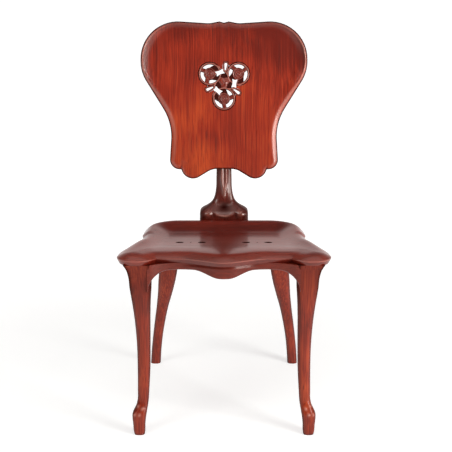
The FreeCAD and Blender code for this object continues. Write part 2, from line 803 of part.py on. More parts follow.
def side_apron():
    half = size("rail_thick") / 2
    plan = [
        (side_rail(side_start) - half, side_start, 0),
        (side_rail(side_start) + half, side_start, 0),
        (side_rail(side_end) + half, side_end, 0),
        (side_rail(side_end) - half, side_end, 0),
    ]

    def arch(y):
        return seat_under(y) - size("rail_depth")

    front_ear, rear_ear = side_start + EAR_TIP, side_end - EAR_TIP
    ear_drop = 22.0
    upright = [
        (side_start, arch(side_start) - ear_drop, 0),
        (front_ear, arch(side_start) - ear_drop, 0),
        (front_ear, arch(front_ear), ear_drop),
        (rear_ear, arch(rear_ear), ear_drop),
        (rear_ear, arch(side_end) - ear_drop, 0),
        (side_end, arch(side_end) - ear_drop, 0),
        (side_end, seat_under(side_end), 0),
        (side_start, seat_under(side_start), 0),
    ]
    body = plate(plan, 0, FAR).common(plate(upright, 0, FAR, SIDE_VIEW))
    return body.fuse([side_front_tenon.Shape, side_rear_tenon.Shape]).removeSplitter()


pegs_left = [other_side(peg) for peg in pegs]
front_apron_item = feature("front_apron_blank", front_apron)
rear_apron_item = feature("rear_apron_blank", rear_apron)
side_apron_item = feature("side_apron_blank", side_apron())
node("front_apron", cut("front_apron", front_apron_item, [pegs[0], pegs_left[0]]))
node("rear_apron", cut("rear_apron", rear_apron_item, [pegs[2], pegs_left[2]] + post_screws))
right_apron = node("right_apron", cut("right_apron", side_apron_item, [pegs[1], pegs[3]]))
node("left_apron", other_side(right_apron))
group("tenon_pegs", pegs + pegs_left)


# Legs: a square block for the tenons and a shank lofted through rounded square sections.
def square_section(body, name, place, width):
    ground = next(plane for plane in body.Origin.OriginFeatures if plane.Role == "XY_Plane")
    sketch = body.newObject("Sketcher::SketchObject", name)
    sketch.AttachmentSupport = (ground, [""])
    sketch.MapMode = "FlatFace"
    for axis, text in zip("xyz", place):
        sketch.setExpression(f"AttachmentOffset.Base.{axis}", text)
    half, corner = 20.0, 6.0
    flat = half - corner
    for quarter in range(4):
        turn = Rotation(UP, 90 * quarter)
        start, end = turn.multVec(Vector(-flat, -half, 0)), turn.multVec(Vector(flat, -half, 0))
        sketch.addGeometry(Part.LineSegment(start, end))
        circle = Part.Circle(turn.multVec(Vector(flat, -flat, 0)), UP, corner)
        first = math.radians(90 * quarter - 90)
        sketch.addGeometry(Part.ArcOfCircle(circle, first, first + math.pi / 2))
    for quarter in range(4):
        line, arc, following = 2 * quarter, 2 * quarter + 1, (2 * quarter + 2) % 8
        sketch.addConstraint(Sketcher.Constraint("Tangent", line, 2, arc, 1))
        sketch.addConstraint(Sketcher.Constraint("Tangent", arc, 2, following, 1))
        sketch.addConstraint(Sketcher.Constraint("Vertical" if quarter % 2 else "Horizontal", line))
    for arc in (3, 5, 7):
        sketch.addConstraint(Sketcher.Constraint("Equal", 1, arc))
    bindings = [
        ("corner", Sketcher.Constraint("Radius", 1, corner), f"({width}) * 0.3"),
        ("right", Sketcher.Constraint("DistanceX", -1, 1, 2, 1, half), f"({width}) / 2"),
        ("left", Sketcher.Constraint("DistanceX", 6, 1, -1, 1, half), f"({width}) / 2"),
        ("back", Sketcher.Constraint("DistanceY", -1, 1, 4, 1, half), f"({width}) / 2"),
        ("front", Sketcher.Constraint("DistanceY", 0, 1, -1, 1, half), f"({width}) / 2"),
    ]
    for title, constraint, text in bindings:
        sketch.renameConstraint(sketch.addConstraint(constraint), title)
        sketch.setExpression(f"Constraints.{title}", text)
    return sketch


def carved_leg(name, runs):
    # Each run of sections is lofted smoothly; a run of two sections has straight sides.
    body = doc.addObject("PartDesign::Body", name)
    for run, sections in enumerate(runs):
        sketches = [
            square_section(body, f"{name}_run_{run}_section_{index}", place, width)
            for index, (place, width) in enumerate(sections)
        ]
        doc.recompute()
        loft = body.newObject("PartDesign::AdditiveLoft", f"{name}_run_{run}")
        loft.Profile = sketches[0]
        loft.Sections = sketches[1:]
        loft.Ruled = len(sections) == 2
        doc.recompute()
    return body


def front_section(share, shift, width):
    # Share of the knee's height; the shift is outwards and, with the rake, forwards.
    place = (
        f"{front_x_text} + ({shift})",
        f"{front_y_text} - ({shift}) - Sizes.front_rake * {1 - share}",
        f"{below_seat_text('front_knee_drop')} * {share}",
    )
    return place, f"Sizes.{width}"


def rear_section(share, swing, width):
    place = (
        f"{rear_x_text} + Sizes.rear_splay * {swing}",
        f"{rear_y_text} + Sizes.rear_kick * {swing}",
        f"{below_seat_text('rear_knee_drop')} * {share}",
    )
    return place, f"Sizes.{width}"


front_knee = front_section(1, "0", "front_block")
front_top = (
    (f"{front_x_text} + Sizes.block_flare / 2", f"{front_y_text} - Sizes.block_flare / 2",
     "Sizes.seat_height"),
    "Sizes.front_block + Sizes.block_flare",
)
throat = front_section(0.222, "0", "throat_width")
front_shank = [
    front_knee,
    front_section(0.81, "-Sizes.shank_in * 0.55", "front_shin_width"),
    front_section(0.62, "-Sizes.shank_in", "calf_width"),
    front_section(0.42, "-Sizes.shank_in * 0.9", "ankle_width"),
    throat,
]
front_toe = [
    throat,
    front_section(0.148, "Sizes.toe_out * 0.8", "toe_width"),
    front_section(0.074, "Sizes.toe_out", "heel_width"),
    front_section(0, "Sizes.toe_out", "front_foot_width"),
]
front_leg = carved_leg("front_leg", [[front_top, front_knee], front_shank, front_toe])

rear_knee = rear_section(1, 0, "rear_block")
rear_top = (rear_knee[0][:2] + ("Sizes.seat_height",), rear_knee[1])
rear_shank = [
    rear_knee,
    rear_section(0.78, 0.18, "rear_thigh_width"),
    rear_section(0.53, 0.5, "rear_shank_width"),
    rear_section(0.27, 0.81, "rear_foot_width"),
    rear_section(0, 1, "rear_foot_width"),
]
rear_leg = carved_leg("rear_leg", [[rear_top, rear_knee], rear_shank])
front_sockets = [above_seat, front_tenon, side_front_tenon, front_corner_screw] + front_leg_pegs
rear_sockets = [above_seat, rear_tenon, side_rear_tenon, rear_corner_screw] + rear_leg_pegs
front_right = node("front_right_leg", cut("front_right_leg", front_leg, front_sockets))
node("front_left_leg", other_side(front_right))
rear_right = node("rear_right_leg", cut("rear_right_leg", rear_leg, rear_sockets))
node("rear_left_leg", other_side(rear_right))


# Corner blocks: four-cornered plan, padded up to the seat.
def corner_block(name, corners, drop):
    body = doc.addObject("PartDesign::Body", name)
    ground = next(plane for plane in body.Origin.OriginFeatures if plane.Role == "XY_Plane")
    sketch = body.newObject("Sketcher::SketchObject", name + "_plan")
    sketch.AttachmentSupport = (ground, [""])
    sketch.MapMode = "FlatFace"
    sketch.setExpression("AttachmentOffset.Base.z", below_seat_text(drop))
    points = [Vector(x, y, 0) for x, y in corners]
    for start, end in zip(points, points[1:] + points[:1]):
        sketch.addGeometry(Part.LineSegment(start, end))
    for index, (x, y) in enumerate(corners):
        sketch.addConstraint(Sketcher.Constraint("Coincident", index, 1, (index - 1) % 4, 2))
        sketch.addConstraint(Sketcher.Constraint("DistanceX", -1, 1, index, 1, x))
        sketch.addConstraint(Sketcher.Constraint("DistanceY", -1, 1, index, 1, y))
    pad = body.newObject("PartDesign::Pad", name + "_pad")
    pad.Profile = sketch
    pad.setExpression("Length", f"Sizes.{drop}")
    return body


for place, corners, drop, screws in (
    ("front", front_brace, "front_brace_drop", [front_corner_screw, front_seat_screw]),
    ("rear", rear_brace, "rear_brace_drop", [rear_corner_screw, rear_seat_screw]),
):
    body = corner_block(f"{place}_brace", corners, drop)
    rooms = [screw_room(screw, 12.0) for screw in screws]
    right = cut(f"{place}_right_corner_block", body, [above_seat] + screws + rooms)
    node(f"{place}_right_corner_block", right)
    node(f"{place}_left_corner_block", other_side(right))
group("corner_screws", [front_corner_screw, rear_corner_screw] + screws_left[:2])
group("seat_screws", [front_seat_screw, rear_seat_screw] + screws_left[2:])

doc.recompute()
failed = [item.Name for item in doc.Objects if "Invalid" in item.State or "Error" in item.State]
failed += [item.Label for item in nodes if item.Shape.isNull() or not item.Shape.isValid()]
if failed:
    raise RuntimeError("not built: " + ", ".join(failed))
os.makedirs("parts", exist_ok=True)
for item in nodes:
    item.Shape.exportStep(f"parts/{item.Label}.step")
    extent = item.Shape.optimalBoundingBox()
    print(f"{item.Label}: {len(item.Shape.Solids)} solid(s), {item.Shape.Volume / 1000:.1f} cm3, "
          f"y {extent.YMin:.1f}..{extent.YMax:.1f}, z {extent.ZMin:.1f}..{extent.ZMax:.1f}")
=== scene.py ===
import json
import math

import bmesh
import bpy
import numpy as np
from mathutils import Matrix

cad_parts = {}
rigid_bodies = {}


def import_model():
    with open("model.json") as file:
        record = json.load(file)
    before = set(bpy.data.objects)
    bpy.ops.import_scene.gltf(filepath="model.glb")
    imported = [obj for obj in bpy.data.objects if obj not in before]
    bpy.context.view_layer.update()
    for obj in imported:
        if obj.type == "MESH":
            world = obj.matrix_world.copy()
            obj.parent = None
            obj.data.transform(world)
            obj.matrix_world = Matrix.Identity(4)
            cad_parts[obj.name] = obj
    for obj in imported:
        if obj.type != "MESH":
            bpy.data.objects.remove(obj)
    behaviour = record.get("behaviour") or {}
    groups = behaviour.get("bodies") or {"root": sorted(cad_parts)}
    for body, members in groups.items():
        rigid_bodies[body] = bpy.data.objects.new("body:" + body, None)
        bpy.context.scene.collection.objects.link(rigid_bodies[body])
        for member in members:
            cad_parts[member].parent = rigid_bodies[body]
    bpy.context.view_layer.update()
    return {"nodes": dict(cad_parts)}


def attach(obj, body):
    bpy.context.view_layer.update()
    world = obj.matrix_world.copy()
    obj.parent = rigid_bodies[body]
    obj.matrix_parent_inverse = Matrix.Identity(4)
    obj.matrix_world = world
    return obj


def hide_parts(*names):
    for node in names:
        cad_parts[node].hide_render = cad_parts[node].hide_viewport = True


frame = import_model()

# Side chair: shapes are worked out in millimetres in the chair's own frame; meshes are in metres.
mm = 0.001
backRecline = 9.0  # degrees


class Look(dict):  # the values of one piece, read as look.name
    __getattr__ = dict.__getitem__


# Curves and surfaces

def ease(low, high, value):  # smooth step, 0 below low and 1 above high
    share = np.clip((value - low) / (high - low), 0.0, 1.0)
    return share * share * (3.0 - 2.0 * share)


def bump(middle, width, value):  # bell curve of height 1
    return np.exp(-((value - middle) / width) ** 2)


def through(stations, at):  # cubic curve through rows (place, values...)
    rows = np.array(stations, float)
    place, values = rows[:, 0], rows[:, 1:]
    slope = np.gradient(values, place, axis=0)
    low = np.clip(np.searchsorted(place, at) - 1, 0, len(place) - 2)
    span = (place[low + 1] - place[low])[:, None]
    t = (np.clip(at, place[0], place[-1])[:, None] - place[low][:, None]) / span
    start, end = values[low], values[low + 1]
    return ((2 * t**3 - 3 * t**2 + 1) * start + (t**3 - 2 * t**2 + t) * span * slope[low]
            + (3 * t**2 - 2 * t**3) * end + (t**3 - t**2) * span * slope[low + 1])


def twoPaced(start, knee, end, first, second):  # shares in two even paces, without the ends
    return np.concatenate([np.linspace(start, knee, first)[1:], np.linspace(knee, end, second)[1:-1]])[:, None, None]


def closer(count):  # -1 to 1, in steps that shorten towards both ends
    return np.sin(np.linspace(-1, 1, count) * math.pi / 2)


def bothSides(rightHalf):  # corners (x, y, radius) of the right half, then of the left, anticlockwise
    return rightHalf + [(-x, y, radius) for x, y, radius in reversed(rightHalf) if x > 0]


def roundedOutline(corners, inset=0.0, arcSteps=9, edgeSteps=9):
    # straight edges and tangent arcs; each edge moves in by the inset, outer corners tighten, inner ones open
    smallest, fullest = 0.4, 0.96  # radius; share of an edge that its two arcs may take up
    rows = np.array(corners, float)
    point, radius = rows[:, :2], rows[:, 2]
    heading = np.roll(point, -1, 0) - point
    heading /= np.linalg.norm(heading, axis=1)[:, None]
    before = np.roll(heading, 1, 0)
    leftOf = np.stack([-before[:, 1], before[:, 0]], 1)
    turn = np.arctan2((leftOf * heading).sum(1), (before * heading).sum(1))
    inward = leftOf + np.stack([-heading[:, 1], heading[:, 0]], 1)
    point = point + inward * (inset / (1 + np.cos(turn)))[:, None]
    radius = np.maximum(radius - np.copysign(inset, turn), smallest)
    reach = radius * np.tan(np.abs(turn) / 2)
    length = np.linalg.norm(np.roll(point, -1, 0) - point, axis=1)
    room = np.minimum(1.0, fullest * length / (reach + np.roll(reach, -1)))
    reach = reach * np.minimum(room, np.roll(room, 1))
    bend = (reach / np.tan(turn / 2))[:, None]
    angle = turn[:, None] * np.linspace(0, 1, arcSteps)
    arcs = ((point - before * reach[:, None])[:, None]
            + before[:, None] * (bend * np.sin(angle))[..., None]
            + leftOf[:, None] * (bend * (1 - np.cos(angle)))[..., None])
    share = np.linspace(0, 1, edgeSteps + 2)[1:-1, None]
    runs = arcs[:, -1:] * (1 - share) + np.roll(arcs[:, :1], -1, 0) * share
    return np.concatenate([arcs, runs], 1).reshape(-1, 2)


def evenPlaces(outline, steps):  # fractional column numbers evenly round an outline
    length = np.linalg.norm(np.roll(outline, -1, 0) - outline, axis=1)
    travelled = np.concatenate([[0], np.cumsum(length)])
    even = np.linspace(0, travelled[-1], steps, endpoint=False)
    return np.interp(even, travelled, np.arange(len(outline) + 1))


def pickPlaces(outline, places):  # the outline's points at such column numbers
    low = places.astype(int)
    share = (places - low)[:, None]
    return outline[low % len(outline)] * (1 - share) + outline[(low + 1) % len(outline)] * share


def facing(outline):  # outward normals of an anticlockwise outline
    along = np.roll(outline, -1, 0) - np.roll(outline, 1, 0)
    along /= np.linalg.norm(along, axis=1)[:, None]
    return np.stack([along[:, 1], -along[:, 0]], 1)


def flatRing(outline, level):  # an outline (x, y) at one height
    return np.concatenate([outline, np.full((len(outline), 1), level)], 1)


def squareRing(steps, power):  # half widths 1: power 2 is a circle, large powers a square
    angle = np.linspace(0, 2 * math.pi, steps, endpoint=False) + math.pi / steps
    power = np.asarray(power, float)[:, None]
    cosine, sine = np.cos(angle), np.sin(angle)
    reach = (np.abs(cosine) ** power + np.abs(sine) ** power) ** (-1 / power)
    return reach * cosine, reach * sine


def tilted(points, degrees, behind, up):  # turned about the x axis, then moved
    lean = math.radians(degrees)
    x, y, z = np.moveaxis(points, -1, 0)
    return np.stack([x, y * math.cos(lean) - z * math.sin(lean) + behind,
                     y * math.sin(lean) + z * math.cos(lean) + up], -1)


# Meshes

def addObject(name, data):
    item = bpy.data.objects.new(name, data)
    bpy.context.scene.collection.objects.link(item)
    return item


def closedMesh(name, points, faces, shade):
    # shade: from 0 to 1, painted shade in hollows, at edges and under parts; below 0, painted highlight along edges
    # and ridges
    mesh = bpy.data.meshes.new(name)
    mesh.from_pydata((points * mm).tolist(), [], faces)
    if shade is not None:
        mesh.attributes.new("shade", "FLOAT", "POINT").data.foreach_set("value", shade.astype(np.float32))
    work = bmesh.new()
    work.from_mesh(mesh)
    bmesh.ops.recalc_face_normals(work, faces=work.faces)
    work.to_mesh(mesh)
    work.free()
    return mesh


def shellFaces(rings, columns):  # quads between closed rings, with a fan to a pole at each end
    around = np.arange(columns)
    onward = (around + 1) % columns
    row = 1 + np.arange(rings - 1)[:, None] * columns
    quads = np.stack([row + around, row + onward, row + columns + onward, row + columns + around], -1)
    last = 1 + (rings - 1) * columns
    top = rings * columns + 1
    fans = [np.stack([onward + 1, around + 1, 0 * around], -1),
            np.stack([last + around, last + onward, 0 * around + top], -1)]
    return quads.reshape(-1, 4).tolist() + np.concatenate(fans).tolist()


def shellMesh(name, rings, poles=None, shade=None):
    # rings: (ring, column, xyz); the poles close its two ends
    ends = [rings[0].mean(0), rings[-1].mean(0)] if poles is None else poles
    points = np.concatenate([[ends[0]], rings.reshape(-1, 3), [ends[1]]])
    if shade is not None:
        shade = np.concatenate([[shade[0].mean()], shade.reshape(-1), [shade[-1].mean()]])
    return closedMesh(name, points, shellFaces(*rings.shape[:2]), shade)


def slotCutter(name, outline, low, high, placeIn):  # an outline between two heights
    return shellMesh(name, placeIn(np.stack([flatRing(outline, level) for level in (low, high)])))


def settle(name, mesh, material, nodes=(), sharp=40):
    piece = addObject(name, mesh)
    if len(mesh.materials) == 0:
        mesh.materials.append(material)
    mesh.shade_smooth()
    mesh.set_sharp_from_angle(angle=math.radians(sharp))
    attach(piece, "root")
    if nodes:
        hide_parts(*nodes)


def carveOut(mesh, cutters, outside, inside):  # the mesh less every cutter
    mesh.materials.append(outside)
    body = addObject("carveBody", mesh)
    tools = bpy.data.collections.new("carveTools")
    bpy.context.scene.collection.children.link(tools)
    for cutter in cutters:
        cutter.materials.append(inside)
        tools.objects.link(bpy.data.objects.new(cutter.name, cutter))
    cut = body.modifiers.new("carve", "BOOLEAN")
    cut.operation = "DIFFERENCE"
    cut.operand_type = "COLLECTION"
    cut.collection = tools
    cut.solver = "EXACT"
    cut.material_mode = "TRANSFER"
    bpy.context.view_layer.update()
    carved = bpy.data.meshes.new_from_object(body.evaluated_get(bpy.context.evaluated_depsgraph_get()))
    for item in list(tools.objects) + [body]:
        bpy.data.objects.remove(item)
    bpy.data.collections.remove(tools)
    return carved


def slicedBoards(mesh, name, normal, cuts):
    # boards between parallel planes through the cut points, each closed again
    boards = []
    for index in range(len(cuts) + 1):
        work = bmesh.new()
        work.from_mesh(mesh)
        for side in (index - 1, index):
            if 0 <= side < len(cuts):
                found = bmesh.ops.bisect_plane(
                    work, geom=work.verts[:] + work.edges[:] + work.faces[:], dist=1e-7,
                    plane_co=cuts[side], plane_no=normal,
                    clear_inner=side < index, clear_outer=side == index)
                rim = [item for item in found["geom_cut"] if isinstance(item, bmesh.types.BMEdge)]
                bmesh.ops.holes_fill(work, edges=rim)
        board = bpy.data.meshes.new(f"{name}{index}")
        for item in mesh.materials:
            board.materials.append(item)
        work.to_mesh(board)
        work.free()
        boards.append(board)
    return boards


def layBoards(name, pierced, material, normal, cuts, nodes):
    for board, node in zip(slicedBoards(pierced, name, normal, cuts), nodes):
        settle(node.replace("_board", "_wood"), board, material, [node])


# Materials

def feed(socket, item):  # with another node's output, or a plain value
    if isinstance(item, Value):
        socket.id_data.links.new(item.socket, socket)
    else:
        socket.default_value = item


class Value:  # a node socket; each operator on it adds a Math node
    def __init__(self, socket):
        self.socket = socket

    def combine(self, operation, first, second):
        step = self.socket.id_data.nodes.new("ShaderNodeMath")
        step.operation = operation
        feed(step.inputs[0], first)
        feed(step.inputs[1], second)
        return Value(step.outputs[0])

    def __add__(self, other):
        return self.combine("ADD", self, other)

    __radd__ = __add__

    def __sub__(self, other):
        return self.combine("SUBTRACT", self, other)

    def __rsub__(self, other):
        return self.combine("SUBTRACT", other, self)

    def __mul__(self, other):
        return self.combine("MULTIPLY", self, other)

    __rmul__ = __mul__

    def atLeast(self, least):
        return self.combine("MAXIMUM", self, least)

    def atMost(self, most):
        return self.combine("MINIMUM", self, most)


class Finish:  # a new material and its nodes
    def __init__(self, name):
        self.material = bpy.data.materials.new(name)
        self.material.use_nodes = True
        self.tree = self.material.node_tree
        self.tree.nodes.clear()

    def add(self, kind, inputs, output=0, **settings):
        made = self.tree.nodes.new("ShaderNode" + kind)
        for key, setting in settings.items():
            setattr(made, key, setting)
        for key, item in inputs.items():
            feed(made.inputs[key], item)
        return None if output is None else Value(made.outputs[output])

    def noise(self, vector, scale, detail, roughness=0.5, output=0):
        inputs = {"Vector": vector, "Scale": scale, "Detail": detail, "Roughness": roughness}
        return self.add("TexNoise", inputs, output)

    def span(self, value, low, high):  # 0 at low and 1 at high
        return self.add("MapRange", {"Value": value, "From Min": low, "From Max": high})

    def mix(self, share, first, second):  # two colours by a share
        return self.add("Mix", {0: share, 6: first, 7: second}, 2, data_type="RGBA")

    def ramp(self, share, stops):  # colours by a share
        made = self.add("ValToRGB", {"Fac": share})
        elements = made.socket.node.color_ramp.elements
        for place, colour in stops[1:-1]:
            elements.new(place)
        for element, (place, colour) in zip(elements, stops):
            element.position, element.color = place, colour
        return made

    def close(self, shader):
        self.add("OutputMaterial", {"Surface": shader}, None)
        return self.material


woodLook = Look(
    tones=((0.120, 0.0075, 0.0034), (0.285, 0.0215, 0.0072), (0.480, 0.0600, 0.0130)),  # dark to light
    stops=(0.30, 0.50, 0.72),  # where those lie
    pore=(0.022, 0.0026, 0.0018),
    worn=(0.560, 0.2300, 0.1700),  # colour of painted highlights
    gleam=(1.0, 0.80, 0.70),  # warm tone of the light it mirrors
    sway=(7.0, 0.012),  # slow wander of the grain: scale, metres
    # scale and share: broad bands of early and late wood, fine lines, uneven stain
    figure=(26.0, 0.30), grain=(320.0, 0.80), cloud=(6.0, 0.85),
    poreScale=560.0, poreRange=(0.56, 0.70), poreShare=0.5,
    stretch=0.010,  # width of a line to its length
    contrast=0.55,
    darkTop=(0.0, 1.0, 0.0),  # darker between two heights, by how much
    roughness=0.40, grainRough=0.14, poreRough=0.10, hollowRough=0.45, dullRough=0.9,
    shine=0.25,  # how strongly the wood itself mirrors
    coat=0.12, coatRoughness=0.16,
    relief=(0.12, 0.0003, 0.5, 0.7),  # strength, depth in metres, share of the lines and of the pores
)


def stainedWood(name, along, turn=(0, 0, 0), **changes):
    # stained wood with the grain along one axis: bands, fine lines and short dark pores, under a clear varnish;
    # painted shade darkens hollows and takes their varnish and gloss away, painted highlights lighten edges
    look = Look(woodLook, **changes)
    pore, rubbed, gleam = ((*look[key], 1) for key in ("pore", "worn", "gleam"))
    wood = Finish(name)
    place = wood.add("TexCoord", {}, "Object")
    swayScale, swayReach = look.sway
    sway = wood.noise(place, swayScale, 1.0, output="Color")
    bent = wood.add("VectorMath", {0: sway, 1: (swayReach,) * 3, 2: place}, operation="MULTIPLY_ADD")
    scale = tuple(1 / look.stretch if axis == along else 1.0 for axis in "xyz")
    lay = wood.add("Mapping", {"Vector": bent, "Rotation": turn, "Scale": scale}, vector_type="TEXTURE")
    figure = wood.noise(lay, look.figure[0], 3.0)
    grain = wood.noise(lay, look.grain[0], 3.0, 0.6)
    pores = wood.noise(lay, look.poreScale, 2.0)
    cloud = wood.noise(place, look.cloud[0], 2.0)
    tone = 0.5 + ((figure - 0.5) * look.figure[1] + (grain - 0.5) * look.grain[1]
                  + (cloud - 0.5) * look.cloud[1]) * look.contrast
    low, high, amount = look.darkTop
    if amount:
        tone = tone - wood.span(wood.add("SeparateXYZ", {0: place}, "Z"), low, high) * amount
    colour = wood.ramp(tone, [(stop, (*shade, 1)) for stop, shade in zip(look.stops, look.tones)])
    poreMask = wood.span(pores, *look.poreRange)
    colour = wood.mix(poreMask * look.poreShare, colour, pore)
    # shade attribute: above 0 painted shade, which darkens, roughens and dulls the wood; below 0 painted highlight,
    # which mixes in a pale colour
    shade = wood.add("Attribute", {}, "Fac", attribute_name="shade")
    hollow, worn = shade.atLeast(0.0), (0.0 - shade).atLeast(0.0)
    colour = wood.mix(worn, wood.mix(hollow, colour, pore), rubbed)
    rough = (look.roughness + (grain - 0.5) * look.grainRough + poreMask * look.poreRough
             + hollow * look.hollowRough)
    strength, deep, lines, pits = look.relief
    relief = wood.add("Bump", {"Strength": strength, "Distance": deep, "Height": grain * lines - poreMask * pits})
    varnished = wood.add("BsdfPrincipled", {
        "Base Color": colour, "Roughness": rough, "Normal": relief, "Coat Weight": look.coat * (1.0 - hollow),
        "Coat Roughness": look.coatRoughness, "Specular IOR Level": look.shine, "Specular Tint": gleam})
    dull = wood.add("BsdfPrincipled", {"Base Color": colour, "Roughness": look.dullRough, "Specular IOR Level": 0.0})
    depth = hollow.atMost(1.0)
    return wood.close(wood.add("MixShader", {0: depth * depth, 1: varnished, 2: dull}))


steelLook = Look(scratchScale=900.0, dark=(0.36, 0.35, 0.33, 1), light=(0.52, 0.51, 0.49, 1),
                 roughness=0.28, scratchRough=0.25)


def plainSteel(name):
    steel = Finish(name)
    scratch = steel.noise(steel.add("TexCoord", {}, "Object"), steelLook.scratchScale, 3.0)
    return steel.close(steel.add("BsdfPrincipled", {
        "Base Color": steel.mix(scratch, steelLook.dark, steelLook.light), "Metallic": 1.0,
        "Roughness": steelLook.roughness + scratch * steelLook.scratchRough}))


backTurn = (math.radians(-backRecline), 0, 0)
panelWood = stainedWood("panelWood", "z", backTurn, roughness=0.30, shine=0.5, coat=0.3, contrast=0.75,
                        darkTop=(0.68, 0.90, 0.20))
seatWood = stainedWood("seatWood", "x", roughness=0.30, coat=0.4, shine=0.45, contrast=0.6, worn=(0.80, 0.300, 0.220),
                       tones=((0.072, 0.0052, 0.0030), (0.152, 0.0112, 0.0050), (0.245, 0.0215, 0.0084)))
# a darker copy of the panel's wood for the carving: painted shade in the deep carving
traceryWood = stainedWood("traceryWood", "z", backTurn, roughness=0.28, coat=0.5, shine=0.5,
                          tones=((0.075, 0.0060, 0.0028), (0.150, 0.0125, 0.0050), (0.240, 0.0240, 0.0085)))
# a darker copy of the wood for the post: painted shade
postWood = stainedWood("postWood", "z", roughness=0.28, coat=0.5, shine=0.6,
                       tones=((0.050, 0.0048, 0.0026), (0.105, 0.0092, 0.0042), (0.170, 0.0180, 0.0070)))
# near-black wood for the walls of the seat's holes: painted shade
holeShadow = stainedWood("holeShadow", "z", coat=0.0, shine=0.1,
                       tones=((0.010, 0.0020, 0.0012), (0.020, 0.0034, 0.0020), (0.034, 0.0052, 0.0030)))
frameWood = stainedWood("frameWood", "z", roughness=0.34, shine=0.30, coat=0.15, contrast=0.85,
                        tones=((0.085, 0.0072, 0.0036), (0.215, 0.0185, 0.0070), (0.370, 0.0480, 0.0130)))
# the aprons' own wood tone, darkened further as painted shade under the seat
crossWood = stainedWood("crossWood", "x", roughness=0.34, shine=0.30, coat=0.15,
                        tones=((0.070, 0.0062, 0.0030), (0.140, 0.0122, 0.0054), (0.215, 0.0240, 0.0085)))
sideWood = stainedWood("sideWood", "y",
                       tones=((0.090, 0.0075, 0.0032), (0.180, 0.0150, 0.0060), (0.270, 0.0300, 0.0095)))
innerWood = stainedWood("innerWood", "y", coat=0.05, roughness=0.55,
                        tones=((0.16, 0.05, 0.025), (0.30, 0.10, 0.045), (0.42, 0.16, 0.07)))
screwSteel = plainSteel("screwSteel")
print("materials ready")


# Seat

seatLook = Look(
    slope=4.4, middleTop=437.07, thick=30.0,
    boardCuts=(-110.0, 30.0),
    corners=[
        (0, -268, 58), (92.6, -216, 70), (157, -216, 2.5), (180.75, -247, 40), (252, -246, 40),
        (246, -166, 140), (206.5, -40, 140), (202.5, 4, 2.5), (207, 26, 14), (202, 166, 88)],
    middle=(0.0, -30.0), insets=[12, 9, 6.5, 4.5, 3, 1.8, 0.9, 0.3, 0],  # where the rings start, and the last ones
    # roll at the edge: width at front, sides and rear, depth, steepness, how much softer at the rear
    roll=(36.0, 30.0, 15.0, 16.0, 2.2, 0.6), ahead=(-70, -205), behind=(60, 140),
    fall=(120.0, 8.0, 2.4),  # towards the front, before the roll: width, depth, steepness
    # below the roll: inset, height
    edge=[(0.0, -17.4), (0.2, -18.8), (0.7, -20.4), (1.6, -22.2), (2.6, -24.0), (3.8, -26.0), (5.0, -28.2),
          (6.0, -30.0)],
    saddle=20.0, hollowWall=62.0,
    # along the seat: share of the saddle's depth, half width of its hollow
    hollow=[(-320, 0.0, 236), (-225, 0.12, 232), (-160, 0.34, 224), (-60, 0.70, 210), (30, 0.90, 200),
            (66, 0.98, 194), (84, 1.0, 192), (100, 0.90, 190), (116, 0.60, 188), (130, 0.25, 186),
            (142, 0.05, 184), (152, 0.0, 184), (200, 0.0, 184)],
    wallAt=(112, 20), wallEnd=(150, 190), wallStain=0.34,  # painted shade on the hollow's rear wall
    # painted highlight across the front roll; painted shade below the edge
    rollRub=0.07, edgeStain=0.10,
    rub=(-19.4, 1.0), rubAll=0.06, rubFront=0.44, rubFrom=(0, -150),  # painted highlight line along the lower edge: height and width, amounts
    # holes: row, pitch, places in pitches, three small marks between them
    holeRow=-60.0, holePitch=54.5, ovals=(-2, -1, 1, 2), dots=(-1.5, 1.5), marks=(-9, 0, 9),
    ovalLong=20.0, ovalShort=19.0, dot=5.5, holeSteps=28, holeReach=(-40, 8),
)


def seatPlace(points):  # from the seat's sloped frame to the chair's
    return tilted(points, -seatLook.slope, 0.0, seatLook.middleTop)


def seatUnder(y):  # height of the seat's underside above the floor
    tilt = math.radians(seatLook.slope)
    return seatLook.middleTop - y * math.tan(tilt) - seatLook.thick / math.cos(tilt)


def saddleDepth(x, y):  # a share along the seat times a hollow across it
    share, half = np.moveaxis(through(seatLook.hollow, y.reshape(-1)).reshape(y.shape + (2,)), -1, 0)
    across = 1 - ease(half - seatLook.hollowWall, half, np.abs(x))
    return seatLook.saddle * np.clip(share, 0, None) * across


